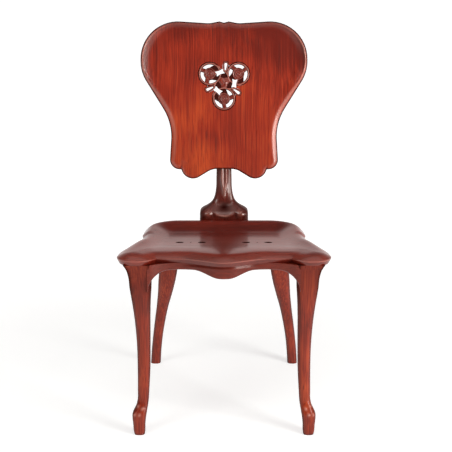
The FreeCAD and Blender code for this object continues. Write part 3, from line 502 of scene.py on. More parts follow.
def seatShell():
    # rings from the middle of the top out to the edge, down the side and back along the underside;
    # the top falls away to the edge over a wide band at the front and a narrow one at the rear
    look = seatLook
    corners = bothSides(look.corners)
    outer = roundedOutline(corners)
    middle = np.array([*look.middle, 0.0])
    insets = np.array(look.insets, float)
    near = np.stack([roundedOutline(corners, inset) for inset in insets])
    flat = middle[:2] + (near[0] - middle[:2]) * twoPaced(0, 0.72, 1, 28, 22)
    top = np.concatenate([flat, near])
    x, y = top[..., 0], top[..., 1]
    fromEdge = np.linalg.norm(top[:, :, None] - outer, axis=3).min(2)
    fromEdge[len(flat):] = insets[:, None]
    ahead, behind = ease(*look.ahead, y), ease(*look.behind, y)
    frontWidth, sideWidth, rearWidth, rollDepth, power, softer = look.roll
    fallWidth, fallDepth, fallPower = look.fall
    width = sideWidth + (frontWidth - sideWidth) * ahead + (rearWidth - sideWidth) * behind
    into = np.clip(1 - fromEdge / width, 0, 1)
    fall = fallDepth * ahead * np.clip(1 - fromEdge / fallWidth, 0, 1) ** fallPower
    roll = (rollDepth - fallDepth * ahead) * into ** (power - softer * behind)
    top = np.concatenate([top, (-fall - roll - saddleDepth(x, y))[..., None]], 2)
    under = np.stack([flatRing(roundedOutline(corners, inset), level) for inset, level in look.edge])
    low = middle + (under[-1] - middle) * np.linspace(1, 0, 12)[1:-1, None, None]
    low[..., 2] = -look.thick
    rings = np.concatenate([top, under, low])
    # painted shade on the rear wall and below the edge, painted highlights on the front roll and along the lower edge
    wall = bump(*look.wallAt, y) * (1 - ease(*look.wallEnd, np.abs(x)))
    rub = look.rubAll + look.rubFront * ease(*look.rubFrom, outer[:, 1])
    shade = np.concatenate([
        look.wallStain * wall - look.rollRub * ahead * ease(0.0, 0.9, into),
        look.edgeStain - rub * bump(*look.rub, rings[len(top):, :, 2])])
    hollow = saddleDepth(middle[:1], middle[1:2])[0]
    poles = np.array([[*look.middle, -hollow], [*look.middle, -look.thick]])
    return shellMesh("seatShell", seatPlace(rings), seatPlace(poles), shade)


def seatCutters():
    look = seatLook
    pitch, dot = look.holePitch, look.dot / 2
    holes = [(place * pitch, look.ovalLong / 2, look.ovalShort / 2) for place in look.ovals]
    holes += [(place * pitch, dot, dot) for place in look.dots]
    holes += [(x, dot / 2, dot / 2) for x in look.marks]
    turn = np.linspace(0, 2 * math.pi, look.holeSteps, endpoint=False)
    outlines = [np.stack([x + long * np.cos(turn), look.holeRow + short * np.sin(turn)], 1)
                for x, long, short in holes]
    return [slotCutter(f"seatHole{index}", outline, *look.holeReach, seatPlace)
            for index, outline in enumerate(outlines)]


tilt = math.radians(seatLook.slope)
cuts = [seatPlace(np.array([0, y, 0.0])) * mm for y in seatLook.boardCuts]
layBoards("seatBoard", carveOut(seatShell(), seatCutters(), seatWood, holeShadow), seatWood,
          (0, math.cos(tilt), -math.sin(tilt)), cuts, ("seat_front_board", "seat_middle_board", "seat_rear_board"))
print("seat done")


# Back panel

panelLook = Look(
    behind=197.0, foot=531.0,
    field=17.0, thick=26.0,  # front of the flat field and of the rim, from the back
    boardCuts=(-76.0, 76.0),
    corners=[
        (31.5, 23.5, 45), (99.5, -18, 32), (113.5, 22.5, 2.5), (145, 22, 25.6), (137, 145, 140),
        (219, 278, 100), (219, 416, 100), (38, 404.5, 60), (12, 409.5, 2), (0, 406, 0.6)],
    middle=(0.0, 215.0), tracery=(0.0, 252.0),
    columns=720, arcSteps=16, smooth=41,
    insets=[0, 0.3, 0.9, 1.8, 2.7, 3.6, 4.5, 5.4, 6.3, 7.4, 9, 11, 13, 15.5, 18],
    backEdge=[(6, 0, 0.1), (2.6, 0.7, 0.2), (0.7, 2.6, 0.45), (0, 6, 0.85)],  # inset, height, painted shade
    # bead round the shoulders, bevel along the waist, and where that lies: heights, facing
    beadWidth=6.4, bevelWidth=14.0, bevelPower=1.15, waist=((6, 40), (200, 300), (0.3, 0.8)),
    # rim, which is low along the top, and the cove inside it
    rimFoot=(190, 300), rimTurn=(0.5, 0.95), rimLoss=0.8, crestLow=0.35,
    cove=(14.0, 26.0), coveTurn=(0.35, 0.95), coveKnee=0.45, step=(1.4, 4.0), drop=(8.0, 1.5),
    groove=((113.0, 19.0), (106.0, 47.0)),  # up from the notches at the foot: its foot and head
    grooveWidth=2.6, grooveDepth=3.0, grooveFade=0.6,
    # painted shade and painted highlight lines: place, width, amount
    coveLine=(3.6, 1.4, 0.6), beadHighlight=(-0.4, 1.9, 0.60), flankHighlight=(-4.0, 4.0, 0.30),
    edgeStain=(1.5, 4.2, 0.95), grooveStain=0.6,
)


def panelPlace(points):  # from the panel's reclined frame to the chair's
    return tilted(points, 90 - backRecline, panelLook.behind, panelLook.foot)


def notchGroove(u, v):  # 1 along the middle of the two grooves
    (footX, footY), (headX, headY) = panelLook.groove
    share = np.clip((v - footY) / (headY - footY), 0, 1)
    off = np.abs(u) - footX - (headX - footX) * share ** 2
    beyond = np.clip(v - headY, 0, None)
    return (1 - share) ** panelLook.grooveFade * bump(0, panelLook.grooveWidth, np.hypot(off, beyond))


def panelShell():
    # rings from the middle of the back, round the edge, over a thin bead and down a cove to the field;
    # the rim and its cove follow the sides and the top, and die out at the foot
    look = panelLook
    corners, steps = bothSides(look.corners), look.arcSteps
    places = evenPlaces(roundedOutline(corners, 0, steps, steps), look.columns)

    def draw(inset):
        return pickPlaces(roundedOutline(corners, inset, steps, steps), places)

    outer = draw(0)
    normal = facing(outer)
    up, aside = outer[:, 1], np.abs(normal[:, 0])
    foot, head, turn = look.waist
    flank = (1 - ease(*head, up)) * ease(*foot, up) * ease(*turn, aside)
    rim = ease(*look.rimFoot, up) * (1 - look.rimLoss * ease(*look.rimTurn, normal[:, 1]))
    (coveTop, coveSide), beadWidth, field = look.cove, look.beadWidth, look.field
    cove = coveTop + (coveSide - coveTop) * ease(*look.coveTurn, aside)
    bead = beadWidth + (look.bevelWidth - beadWidth) * flank
    spread = np.ones(look.smooth) / look.smooth
    rim, cove, bead, flank = (np.convolve(np.tile(item, 3), spread, "same")[len(outer):2 * len(outer)]
                              for item in (rim, cove, bead, flank))
    insets, middle = np.array(look.insets), np.array(look.middle)
    near = np.stack([draw(inset) for inset in insets])
    flat = middle + (near[-1] - middle) * twoPaced(1, 0.7, 0, 22, 20)
    fromEdge = np.concatenate([np.repeat(insets[:, None], len(outer), 1),
                               np.linalg.norm(flat[:, :, None] - outer[::2], axis=3).min(2)])
    short = np.clip(1 - fromEdge / bead, 0, 1)
    roll = np.sqrt(1 - short ** 2) * (1 - flank) + (1 - short ** look.bevelPower) * flank
    into = np.clip((fromEdge - bead) / cove, 0, 1)
    knee = look.coveKnee  # the cove runs straight to here and then levels out
    past, rest = np.clip(into - knee, 0, 1), 1 - knee
    slope = 1 - (np.minimum(into, knee) + past * (1 - past / (2 * rest))) / (knee + rest / 2)
    crest = (look.thick - field) * rim * (look.crestLow + (1 - look.crestLow) * roll)
    (stepDepth, stepWidth), (edgeDrop, lift) = look.step, look.drop
    step = stepDepth * rim * ease(bead, bead + stepWidth, fromEdge)
    drop = edgeDrop - lift * flank
    front = np.concatenate([near, flat])
    groove = notchGroove(front[..., 0], front[..., 1])
    level = field - drop + drop * roll + (crest - step) * slope - look.grooveDepth * groove
    front = np.concatenate([front, level[..., None]], 2)
    side = np.stack([flatRing(draw(inset), height) for inset, height, stain in look.backEdge])
    hub = np.array([*middle, 0.0])
    back = hub + (side[0] - hub) * np.linspace(0, 1, 14)[1:-1, None, None]
    rings = np.concatenate([back, side, front])

    def line(key, start):
        away, width, amount = look[key]
        return amount * bump(start + away, width, fromEdge)

    # painted shade: a dark line inside the bead, dark outer edges and grooves, a dark back edge; painted highlights
    # on the bead and the waist bevel
    near, far, amount = look.edgeStain
    shade = np.zeros(rings.shape[:2])
    shade[len(back):-len(front)] = np.array([stain for inset, height, stain in look.backEdge])[:, None]
    shade[-len(front):] = (
        rim * line("coveLine", beadWidth) + amount * (1 - ease(near, far, fromEdge))
        + look.grooveStain * groove - rim * line("beadHighlight", beadWidth) - flank * line("flankHighlight", bead))
    poles = np.array([hub, [*middle, field]])
    return shellMesh("panelShell", panelPlace(rings), panelPlace(poles), shade)


traceryLook = Look(
    orbit=43.0, turns=(30.0, 150.0, 270.0),  # ring middles round the plate's own middle
    ring=27.4, beadHalf=2.3, beadRise=3.0,
    open=(16.2, 24.4),  # pierced part of each ring
    # stems across the pierced part: angle from the outward ray, half width, twist
    stems=((2, 5.6, 0.010), (99, 6.2, 0.012), (221, 23.0, 0.0)),
    stemForm=(20.0, 6.5, 2.0, 1.5),  # where the twist starts, most half width, rise, how far past the opening
    rosette=13.6, rosetteRise=2.6, rosetteBead=(1.3, 2.6),  # half width and rise of the bead round it
    spiral=(0.9, 5.2),  # height and pitch
    window=(113.0, 27.5, 9.4, 4.9),  # angle, distance from the middle, half length, half width
    windowHorns=(1.6, 1.7),  # how far its corners reach out
    drop=(84.0, 33.0, 47.0, 1.7, 3.6),  # angle, near and far end, half widths there
    dropBead=(2.2, 1.9, 2.6),  # distance from the drop, half width, rise
    boss=15.0, bossRise=4.6, lobes=0.2, swirl=(0.8, 0.35),  # swirl: height, twist
    vine=((-20.5, 0.5), (-25.0, -9.0), (-27.2, -20.0), (-27.4, -32.0), (-27.0, -43.0)),
    sink=1.6,  # ground of the carving below the field
    stain=(-1.6, 0.9, 0.9), rub=(2.3, 2.9, 0.38), backStain=0.3,  # painted shade on the low ground and the back, painted highlight on bead crests: between two heights, amount
    # plate: round each ring, round each drop, least radius, radii tried; its hole in the panel
    patch=31.6, dropPatch=5.0, core=34.0, radii=(20, 82, 400), holeSteps=240, holeReach=(-10, 40),
    # grid: spacing, half size, outline steps, and how it meets edges and field
    step=0.62, gridHalf=80.0, outlineSteps=721, snap=0.71, leastSlope=0.25, overlap=0.15,
    blend=(0.1, 1.2),
)
nowhere = 1e3  # a distance beyond all others


def turned(x, y, degrees):  # the same point seen from axes turned by an angle
    cosine, sine = math.cos(math.radians(degrees)), math.sin(math.radians(degrees))
    return x * cosine + y * sine, y * cosine - x * sine


def fromRing(x, y, turn):  # the same point seen from the middle of a ring
    angle = math.radians(turn)
    return x - traceryLook.orbit * math.cos(angle), y - traceryLook.orbit * math.sin(angle)


def dropDistance(x, y, turn):  # distance outside a teardrop that points away from the middle
    angle, near, far, nearHalf, farHalf = traceryLook.drop
    along, across = turned(x, y, turn - traceryLook.turns[0] + angle)
    share = np.clip((along - near) / (far - near), 0, 1)
    return np.hypot(along - near - share * (far - near), across) - (nearHalf + (farHalf - nearHalf) * share)


def windowDistance(x, y, turn):  # roughly the distance outside a small window with drawn-in sides
    angle, distance, long, half = traceryLook.window
    hornLong, hornHalf = traceryLook.windowHorns
    outward, along = turned(x, y, turn - traceryLook.turns[0] + angle)
    across = outward - distance
    return np.maximum(np.abs(along) - long - hornLong * np.clip(across / half, -1, 1) ** 2,
                      np.abs(across) - half - hornHalf * np.clip(along / long, -1, 1) ** 2)


def vineDistance(x, y, turn):  # distance from a bent line that ties one ring to the next
    bentX, bentY = turned(x, y, turn - traceryLook.turns[1])
    knots = np.array(traceryLook.vine)
    best = np.full(np.shape(x), nowhere)
    for start, end in zip(knots[:-1], knots[1:]):
        run = end - start
        share = np.clip(((bentX - start[0]) * run[0] + (bentY - start[1]) * run[1]) / (run ** 2).sum(), 0, 1)
        best = np.minimum(best, np.hypot(bentX - start[0] - share * run[0], bentY - start[1] - share * run[1]))
    return best


def ridge(away, half, height):  # half-round ridge, by the distance from its middle
    return height * np.sqrt(np.clip(1 - (away / half) ** 2, 0, 1))


def tracerySurface(x, y):
    # distance from the nearest opening, below 0 inside it; height of the carving; its painted shade, with painted
    # highlights on the beads
    look = traceryLook
    near, far = look.open
    bead = (look.beadHalf, look.beadRise)
    dropAway, *dropBead = look.dropBead
    spiral, pitch = look.spiral
    twistFrom, stemHalf, stemRise, past = look.stemForm
    opening = np.full(np.shape(x), nowhere)
    rises, beads = [np.zeros(np.shape(x))], [np.zeros(np.shape(x))]
    for turn in look.turns:
        out, up = turned(*fromRing(x, y, turn), turn)
        reach, angle = np.hypot(out, up), np.arctan2(up, out)
        ring = np.maximum(reach - far, near - reach)
        for stem, width, twist in look.stems:
            off = angle - math.radians(stem) - twist * (reach - twistFrom)
            off = np.abs((off + math.pi) % (2 * math.pi) - math.pi) * reach
            ring = np.maximum(ring, width - off)
            rises.append(ridge(off, min(width, stemHalf), stemRise) * (reach < far + past))
        drop = dropDistance(x, y, turn)
        opening = np.minimum.reduce([opening, ring, drop, windowDistance(x, y, turn)])
        beads += [ridge(reach - look.ring, *bead), ridge(drop - dropAway, *dropBead),
                  ridge(vineDistance(x, y, turn), *bead), ridge(reach - look.rosette, *look.rosetteBead)]
        petal = spiral * np.cos(2 * math.pi * reach / pitch - angle)
        rises.append((ridge(reach, look.rosette, look.rosetteRise) + petal) * (reach < look.rosette))
    reach, angle = np.hypot(x, y), np.arctan2(y, x)
    lobed = look.boss * (1 + look.lobes * np.cos(3 * (angle - math.radians(look.turns[0]))))
    swirl, twist = look.swirl
    swirl = swirl * np.cos(3 * angle + reach * twist)
    beads = np.maximum.reduce(beads)
    rise = np.maximum.reduce([*rises, ridge(reach, lobed, look.bossRise) + swirl * (reach < lobed), beads])
    rise = rise - look.sink
    low, high, stain = look.stain
    bare, bright, rub = look.rub
    return opening, rise, stain * (1 - ease(low, high, rise)) - rub * ease(bare, bright, beads)


def traceryReach(angle):  # how far the carved plate goes from its middle in each direction
    reach = np.linspace(*traceryLook.radii)[:, None]
    x, y = reach * np.cos(angle), reach * np.sin(angle)
    away = np.full(x.shape, nowhere)
    for turn in traceryLook.turns:
        away = np.minimum(away, np.hypot(*fromRing(x, y, turn)) - traceryLook.patch)
        away = np.minimum(away, dropDistance(x, y, turn) - traceryLook.dropPatch)
    return np.where(away < 0, reach, traceryLook.core).max(0)


def traceryMesh():
    # a fine grid; points beside an opening are drawn onto its edge, cells in the openings dropped
    look = traceryLook
    step, half = look.step, look.gridHalf
    x, y = np.meshgrid(*[np.arange(-half, half + step, step)] * 2, indexing="ij")
    ways = np.linspace(-math.pi, math.pi, look.outlineSteps)
    outline = traceryReach(ways)

    def inPlate(px, py):  # distance inside the plate's outline
        return np.interp(np.arctan2(py, px), ways, outline) - np.hypot(px, py)

    inside = np.minimum(tracerySurface(x, y)[0], inPlate(x, y) + look.overlap)
    slopeX, slopeY = np.gradient(inside, step)
    close = np.abs(inside) < look.snap * step
    pull = np.where(close, inside / np.maximum(slopeX ** 2 + slopeY ** 2, look.leastSlope), 0)
    x, y = x - pull * slopeX, y - pull * slopeY
    kept = inside > -look.snap * step
    cell = kept[:-1, :-1] & kept[1:, :-1] & kept[1:, 1:] & kept[:-1, 1:]
    rise, dark = tracerySurface(x, y)[1:]
    rise = rise * ease(*look.blend, inPlate(x, y))
    number = np.arange(x.size).reshape(x.shape)
    corner = np.stack([number[:-1, :-1], number[1:, :-1], number[1:, 1:], number[:-1, 1:]], -1)
    quads, padded, walls = corner[cell], np.pad(cell, 1), []
    here, before, after = slice(1, -1), slice(0, -2), slice(2, None)
    for first, second, rows, columns in ((0, 1, here, before), (2, 3, here, after),
                                         (3, 0, before, here), (1, 2, after, here)):
        ends = corner[cell & ~padded[rows, columns]]  # cells with nothing on that side
        start, end = ends[:, first], ends[:, second]
        walls.append(np.stack([start, start + x.size, end + x.size, end], -1))
    faces = np.concatenate([quads, quads[:, ::-1] + x.size] + walls)
    used = np.unique(faces)
    renumber = np.zeros(2 * x.size, int)
    renumber[used] = np.arange(len(used))
    middleX, middleY = panelLook.tracery
    points = np.concatenate([np.stack([x + middleX, y + middleY, level], -1).reshape(-1, 3)
                             for level in (panelLook.field + rise, np.zeros_like(x))])
    shade = np.concatenate([dark.reshape(-1), np.full(x.size, look.backStain)])
    return closedMesh("traceryPlate", panelPlace(points)[used], renumber[faces].tolist(), shade[used])


def traceryCutters():
    angle = np.linspace(-math.pi, math.pi, traceryLook.holeSteps, endpoint=False)
    reach = traceryReach(angle)[:, None]
    outline = np.array(panelLook.tracery) + reach * np.stack([np.cos(angle), np.sin(angle)], 1)
    return [slotCutter("traceryHole", outline, *traceryLook.holeReach, panelPlace)]


cuts = [np.array([u, 0, 0]) * mm for u in panelLook.boardCuts]
layBoards("panelBoard", carveOut(panelShell(), traceryCutters(), panelWood, panelWood), panelWood,
          (1, 0, 0), cuts, ("back_left_board", "back_middle_board", "back_right_board"))
print("panel done")

settle("tracery", traceryMesh(), traceryWood, sharp=50)
print("tracery done")


# Post

postLook = Look(
    # height: half width, front face, back face, squareness
    stations=[
        (350, 15, 160, 184, 6), (372, 18, 160, 186, 6), (388, 24, 160, 190, 6), (396, 44, 160, 196, 6),
        (403, 60, 160, 202, 6), (414, 64, 160, 207, 6), (430, 64.5, 160, 211, 6), (440, 64, 160.5, 213, 6),
        (446, 61.5, 163, 215, 5), (450, 56, 167, 216, 4.4), (455, 46, 172.5, 217, 3.8), (462, 35.5, 180, 219, 3.2),
        (470, 29, 185.5, 220, 3), (480, 25, 189, 221.5, 3), (496, 22, 191.5, 223.5, 3), (531, 20.5, 197, 227, 3),
        (580, 19.5, 204.8, 233, 3.4), (640, 16.5, 214.3, 239, 3.4), (684, 13.5, 221.2, 238, 3.4),
        (698.5, 9, 223.5, 231, 3)],
    levels=((350, 400, 12), (402, 482, 70), (485, 698.5, 60)),  # rings between two heights
    columns=192,
    face=(0.1, 0.8), neckFoot=(464, 500), neckHead=(560, 600),
    # carving on the front: place and width, from the middle line and in height
    cup=((0, 18), (454, 11)), lobe=((45, 12), (439, 10)), seam=((29, 4.0), (438, 12)),
    lip=(24, 3.6), lipLine=(434, 7, 26),  # half length and width; height, rise and run of its curve
    hollow=(15, 5.0), ridge=(6.0, 3.6), ridgeSplit=(486, 531),
    # how deep each is cut, and its painted shade; below 0 it stands out and carries a painted highlight
    carving=Look(cup=(8.0, 1.0), hollow=(1.5, 0.3), seam=(2.0, 0.4), ridge=(-3.0, -0.3),
                 lip=(-4.0, -0.5), lobe=(-5.0, -0.2)),
    sideStain=0.5, sideFrom=(0.75, 0.98),
)


def postShell():
    # squarish sections stacked up the post; on its front a split ridge up the neck, hollowed sides,
    # and at the knuckle a cup darkened by painted shade over a curved lip between two round lobes
    look = postLook
    level = np.concatenate([np.linspace(*run) for run in look.levels])
    half, front, back, square = through(look.stations, level).T
    across, along = squareRing(look.columns, square)
    x = half[:, None] * across
    y = ((front + back) / 2)[:, None] + ((back - front) / 2)[:, None] * along
    z = np.repeat(level[:, None], look.columns, 1)
    aside = np.abs(x)
    face = ease(*look.face, -along)
    neck = ease(*look.neckFoot, z) * (1 - ease(*look.neckHead, z))
    base, rise, run = look.lipLine
    lipLong, lipWidth = look.lip
    split, ridgeWidth = look.ridge
    forms = {key: bump(*look[key][0], aside) * bump(*look[key][1], z) for key in ("cup", "lobe", "seam")}
    forms["lip"] = bump(0, lipLong, x) * bump(base + (x / run) ** 2 * rise, lipWidth, z)
    forms["hollow"] = neck * bump(*look.hollow, aside)
    forms["ridge"] = neck * bump(split * ease(*look.ridgeSplit, z), ridgeWidth, aside)
    cut, stain = (sum(look.carving[key][item] * form for key, form in forms.items()) for item in (0, 1))
    # painted shade on the sides and in the carved hollows, painted highlights on the raised carving
    shade = look.sideStain * ease(*look.sideFrom, np.abs(across)) + face * stain
    return shellMesh("postShell", np.stack([x, y + face * cut, z], -1), None, shade)


settle("back_post_wood", postShell(), postWood, ["back_post"])
print("post done")


# Legs

legLook = Look(
    # height: middle x, middle y, half width across, half depth, squareness
    front=[
        (0, 203, -234, 12.4, 12.4, 3), (5, 203.2, -233.9, 13.4, 13.4, 3), (25, 203.6, -233, 14.6, 14.6, 2.9),
        (42, 203.4, -231.8, 16.3, 16.3, 2.8), (51, 202.6, -230.4, 16.9, 16.9, 2.7),
        (60, 199.8, -227.8, 15.7, 15.7, 2.7), (70, 196.4, -224.2, 14.1, 14.1, 2.6),
        (80, 194.4, -221.6, 13.5, 13.5, 2.5), (110, 192.6, -219, 13.9, 13.9, 2.4),
        (153, 191, -215.2, 15, 15, 2.4), (226, 190.5, -211.6, 16.25, 16.25, 2.5),
        (296, 192.5, -210.6, 19.25, 19.25, 2.8), (332, 194, -210.3, 22, 22, 3.4), (365, 195, -210, 25, 25, 5),
        (395, 196.2, -210.7, 26.2, 25.7, 7), (412, 198.4, -211.6, 28.4, 26.6, 8), (425, 202, -213, 32, 28, 9)],
    rear=[
        (0, 191, 198, 13.5, 13.5, 2.6), (45, 187.6, 193.4, 13.4, 13.4, 2.5), (90, 182.3, 186, 13.5, 13.5, 2.5),
        (134, 175.6, 176.8, 14.4, 14.4, 2.5), (177.5, 168, 166.5, 16, 16, 2.5), (219, 160, 155.6, 19.3, 19.3, 2.7),
        (261, 153.3, 146.3, 23, 23, 3.2), (300, 148, 139, 24.4, 24.4, 4.4), (335, 145, 135, 25, 25, 5.5),
        (365, 145, 135, 25, 25, 7), (398.5, 145, 135, 25, 25, 8)],
    levels=(0.23, 60, 90),  # share of the height with fine rings, rings there and above
    columns=72, fitFrom=0.85,  # share of the height where the top starts to follow the seat
    # knuckles round the front of the toe: height, angle from straight out to the side
    knuckles=[(71, -54), (66, -100), (53, -54), (53, -90)],
    # painted highlight on each knuckle; painted shade on the sides and at the foot, painted shadow under the seat at
    # the top
    toeBump=1.8, toeWidth=3.6, toeSpread=0.20, toeRub=0.65,
    sideStain=0.55, sideFrom=(0.60, 0.98), topStain=0.38, topFrom=(0.66, 0.95),
    footStain=0.5, foot=(0, 4.0),
)


def legShell(name, stations, side, toes):
    # squarish sections stacked up the leg; the top ring follows the underside of the seat
    look = legLook
    top = stations[-1][0]
    fine, fineRings, rings = look.levels
    level = np.concatenate([np.linspace(0, fine, fineRings)[:-1], np.linspace(fine, 1, rings)]) * top
    middleX, middleY, half, depth, square = through(stations, level).T
    across, along = squareRing(look.columns, square)
    x = middleX[:, None] + half[:, None] * across
    y = middleY[:, None] + depth[:, None] * along
    z = np.repeat(level[:, None], look.columns, 1)
    start, end = look.topFrom
    # painted shade on the sides, painted shadow from the seat at the top
    shade = (look.sideStain * ease(*look.sideFrom, np.abs(across))
             + look.topStain * ease(start * top, end * top, z))
    if toes:
        angle = np.arctan2(along, across)
        swell = sum(bump(high, look.toeWidth, z) * bump(math.radians(way), look.toeSpread, angle)
                    for high, way in look.knuckles)
        x, y = x + look.toeBump * swell * across, y + look.toeBump * swell * along
        # painted shade at the foot, painted highlights on the knuckles
        shade = shade + look.footStain * bump(*look.foot, z) - look.toeRub * swell
    z = z + (seatUnder(y) - top) * ease(look.fitFrom * top, top, z)
    return shellMesh(name, np.stack([side * x, y, z], -1), None, shade)


for place in ("front", "rear"):
    for name, side in (("right", 1), ("left", -1)):
        settle(f"{place}_{name}_leg_wood", legShell(f"{place}{name}Leg", legLook[place], side, place == "front"),
               frameWood, [f"{place}_{name}_leg"])
print("legs done")


# Aprons

apronLook = Look(
    earGap=1.5, noseWidth=62.0,
    beadAt=(9.5, 4.0), beadEnd=(60, 110), faceDepth=8.0,  # bead on the face: place and width below the seat, ends
    front=Look(half=178.0, back=-196.0, arch=406.0, nose=391.0, noseFlat=8.0, ear=47.0, edge=5.0, bead=2.0, steps=161,
               plan=[(0, -240.5), (20, -238), (45, -227), (70, -217), (95, -213), (125, -216), (150, -226),
                     (170, -237), (178, -238.5)]),
    rear=Look(half=120.0, back=160.0, arch=366.7, nose=350.0, noseFlat=16.0, ear=28.0, edge=3.0, bead=0.0, steps=101,
              plan=[(0, 136), (120, 136)]),
    side=Look(start=(195.0, -185.0), end=(145.0, 110.0), half=12.0, drop=28.0, ear=22.0, edge=3.0, steps=101),
)


def apronSection(front, back, low, topFront, topBack, edge):
    # one closed loop for each station: front face, rounded lower edges, back face and top
    front, back, low, topFront, topBack = (item[:, None] for item in (front, back, low, topFront, topBack))
    quarter = np.linspace(0, math.pi / 2, 5)
    share = np.linspace(0, 1, 12)[:-1]
    flat = np.ones_like(share)
    across = np.array([0.25, 0.5, 0.75])
    depth = np.concatenate([
        front * flat, front + edge * (1 - np.cos(quarter)), back - edge * (1 - np.sin(quarter)), back * flat,
        back + (front - back) * across], 1)
    height = np.concatenate([
        topFront + (low + edge - topFront) * share, low + edge * (1 - np.sin(quarter)),
        low + edge * (1 - np.cos(quarter)), low + edge + (topBack - low - edge) * (1 - share[::-1]),
        topBack + (topFront - topBack) * across], 1)
    return depth, height


def earDrop(away, half, ear):  # how far the round ear at an end comes down
    into = np.clip(away - (half - ear - apronLook.earGap), 0, ear)
    return ear - np.sqrt(np.maximum(ear ** 2 - into ** 2, 0))


def lowerEdge(x, look):  # a nose in the middle, an arch, and a round ear down each leg
    nose = 1 - ease(look.noseFlat, look.noseFlat + apronLook.noseWidth, np.abs(x))
    return look.arch - (look.arch - look.nose) * nose - earDrop(np.abs(x), look.half, look.ear)


def crossApron(name, look):
    x = closer(look.steps) * look.half
    front, back = through(look.plan, np.abs(x))[:, 0], np.full_like(x, look.back)
    depth, height = apronSection(front, back, lowerEdge(x, look), seatUnder(front), seatUnder(back), look.edge)
    face = depth < (front + apronLook.faceDepth)[:, None]
    ends = (1 - ease(*apronLook.beadEnd, np.abs(x)))[:, None]
    depth = depth - face * look.bead * bump(*apronLook.beadAt, seatUnder(depth) - height) * ends
    return shellMesh(name, np.stack([x[:, None] + 0 * depth, depth, height], -1))


def sideApron(side):
    look = apronLook.side
    start, end = np.array(look.start), np.array(look.end)
    x, y = (start + (end - start) * ((closer(look.steps) + 1) / 2)[:, None]).T
    away, half = np.abs(y - (start[1] + end[1]) / 2), (end[1] - start[1]) / 2
    top = seatUnder(y)
    low = top - look.drop - earDrop(away, half, look.ear)
    across, height = apronSection(x - look.half, x + look.half, low, top, top, look.edge)
    return shellMesh("sideApron", np.stack([side * across, y[:, None] + 0 * across, height], -1))


for name, apron, wood in (("front", crossApron("frontApron", apronLook.front), crossWood),
                          ("rear", crossApron("rearApron", apronLook.rear), crossWood),
                          ("right", sideApron(1), sideWood), ("left", sideApron(-1), sideWood)):
    settle(f"{name}_apron_wood", apron, wood, [f"{name}_apron"])
print("aprons done")


# Pieces that stay as they are: finish by the last word of the name
keptFinish = {"screws": screwSteel, "block": innerWood, "tongues": innerWood, "pegs": frameWood, "plugs": frameWood}
for name, node in frame["nodes"].items():
    finish = keptFinish.get(name.split("_")[-1])
    if finish is not None:
        node.data.materials.clear()
        node.data.materials.append(finish)
print("inner pieces done")


# Floor, light and camera

sideLamp = ((2.3, -1.7, 1.25), (0, 0, 0.75), (1.0, 2.3), 86)
stageLook = Look(
    floorHalf=30.0, floorTone=(0.505, 0.525, 0.508, 1), floorMottle=(0.525, 0.545, 0.528, 1),
    mottleScale=3.0, floorRough=0.9,
    floorGlow=(0.66, 0.66, 0.66, 1), farGlow=(1, 1, 1, 1), glowFrom=(0.5, 2.4),  # near, far, distances
    # sky: strength behind the chair and all round, tone, growth to the rear, fade upwards
    sky=0.76, frontSky=0.11, skyTone=(1.0, 0.82, 0.79, 1), skyRear=(0.9, 0.08), skyLow=(1.3, 2.2),
    # place, aim, width and height, watts; "dull" is "side" for the seat, without its gloss
    lamps=Look(side=sideLamp, dull=sideLamp,
               front=((-1.9, -1.9, 2.9), (0, 0, 0.5), (1.2, 1.2), 24),
               strip=((0, -1.2, 3.2), (0, 0, 0.4), (3.6, 0.6), 22),
               top=((0, 0.4, 3.4), (0, 0, 0), (2.6, 2.6), 14)),
    camera=(0.0, -2.533, 1.169), pitch=15.8, lens=83.56, sensor=36.0, shift=2 / 452,
)


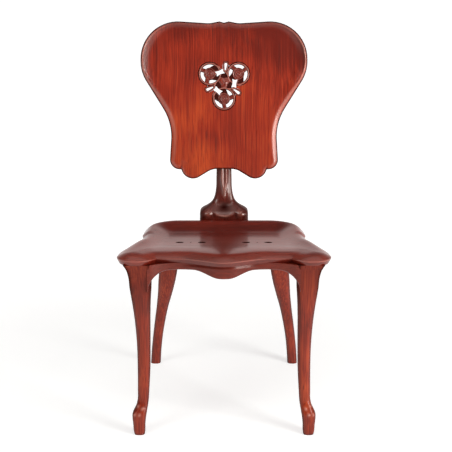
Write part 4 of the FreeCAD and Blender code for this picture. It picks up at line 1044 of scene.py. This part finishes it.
def makeFloor():
    half = stageLook.floorHalf
    mesh = bpy.data.meshes.new("floor")
    mesh.from_pydata([(-half, -half, 0), (half, -half, 0), (half, half, 0), (-half, half, 0)], [], [(0, 1, 2, 3)])
    floor = addObject("floor", mesh)
    paper = Finish("floorPaper")
    place = paper.add("TexCoord", {}, "Object")
    mottle = paper.noise(place, stageLook.mottleScale, 2.0)
    away = paper.add("VectorMath", {0: place}, "Value", operation="LENGTH")
    glow = paper.mix(paper.span(away, *stageLook.glowFrom), stageLook.floorGlow, stageLook.farGlow)
    mesh.materials.append(paper.close(paper.add("BsdfPrincipled", {
        "Base Color": paper.mix(mottle, stageLook.floorTone, stageLook.floorMottle),
        "Roughness": stageLook.floorRough, "Emission Color": glow, "Emission Strength": 1.0})))


def makeSky():
    world = bpy.data.worlds.new("studio")
    bpy.context.scene.world = world
    world.use_nodes = True
    tree = world.node_tree
    split = tree.nodes.new("ShaderNodeSeparateXYZ")
    feed(split.inputs[0], Value(tree.nodes.new("ShaderNodeTexCoord").outputs["Generated"]))
    growth, least = stageLook.skyRear
    start, fade = stageLook.skyLow
    behind = (Value(split.outputs["Y"]) * growth + least).atLeast(0.0).atMost(1.0)
    low = (start - Value(split.outputs["Z"]) * fade).atLeast(0.0).atMost(1.0)
    sky = tree.nodes["Background"]
    feed(sky.inputs["Strength"], behind * low * stageLook.sky + stageLook.frontSky)
    feed(sky.inputs["Color"], stageLook.skyTone)


def makeLamps():
    lit = {name: bpy.data.collections.new(name + "Lit") for name in ("side", "dull")}
    for piece in bpy.context.scene.objects:
        if piece.type == "MESH":
            lit["dull" if piece.name.startswith("seat_") else "side"].objects.link(piece)
    for name, (place, aim, size, watts) in stageLook.lamps.items():
        lamp = bpy.data.lights.new(name, "AREA")
        lamp.shape, lamp.energy = "RECTANGLE", watts
        lamp.size, lamp.size_y = size
        holder = addObject(name, lamp)
        holder.location = place
        toward = np.array(aim) - np.array(place)
        flat = math.hypot(toward[0], toward[1])
        holder.rotation_euler = (math.atan2(flat, -toward[2]), 0, math.atan2(-toward[0], toward[1]))
        holder.visible_glossy = name != "dull"
        if name in lit:
            holder.light_linking.receiver_collection = lit[name]


def makeCamera():
    camera = bpy.data.cameras.new("camera")
    camera.lens, camera.sensor_width, camera.shift_x = (stageLook[key] for key in ("lens", "sensor", "shift"))
    holder = addObject("camera", camera)
    holder.location = stageLook.camera
    holder.rotation_euler = (math.radians(90 - stageLook.pitch), 0, 0)
    bpy.context.scene.camera = holder
    bpy.context.scene.view_settings.view_transform = "Standard"


makeFloor()
makeSky()
makeLamps()
makeCamera()
print("stage done")
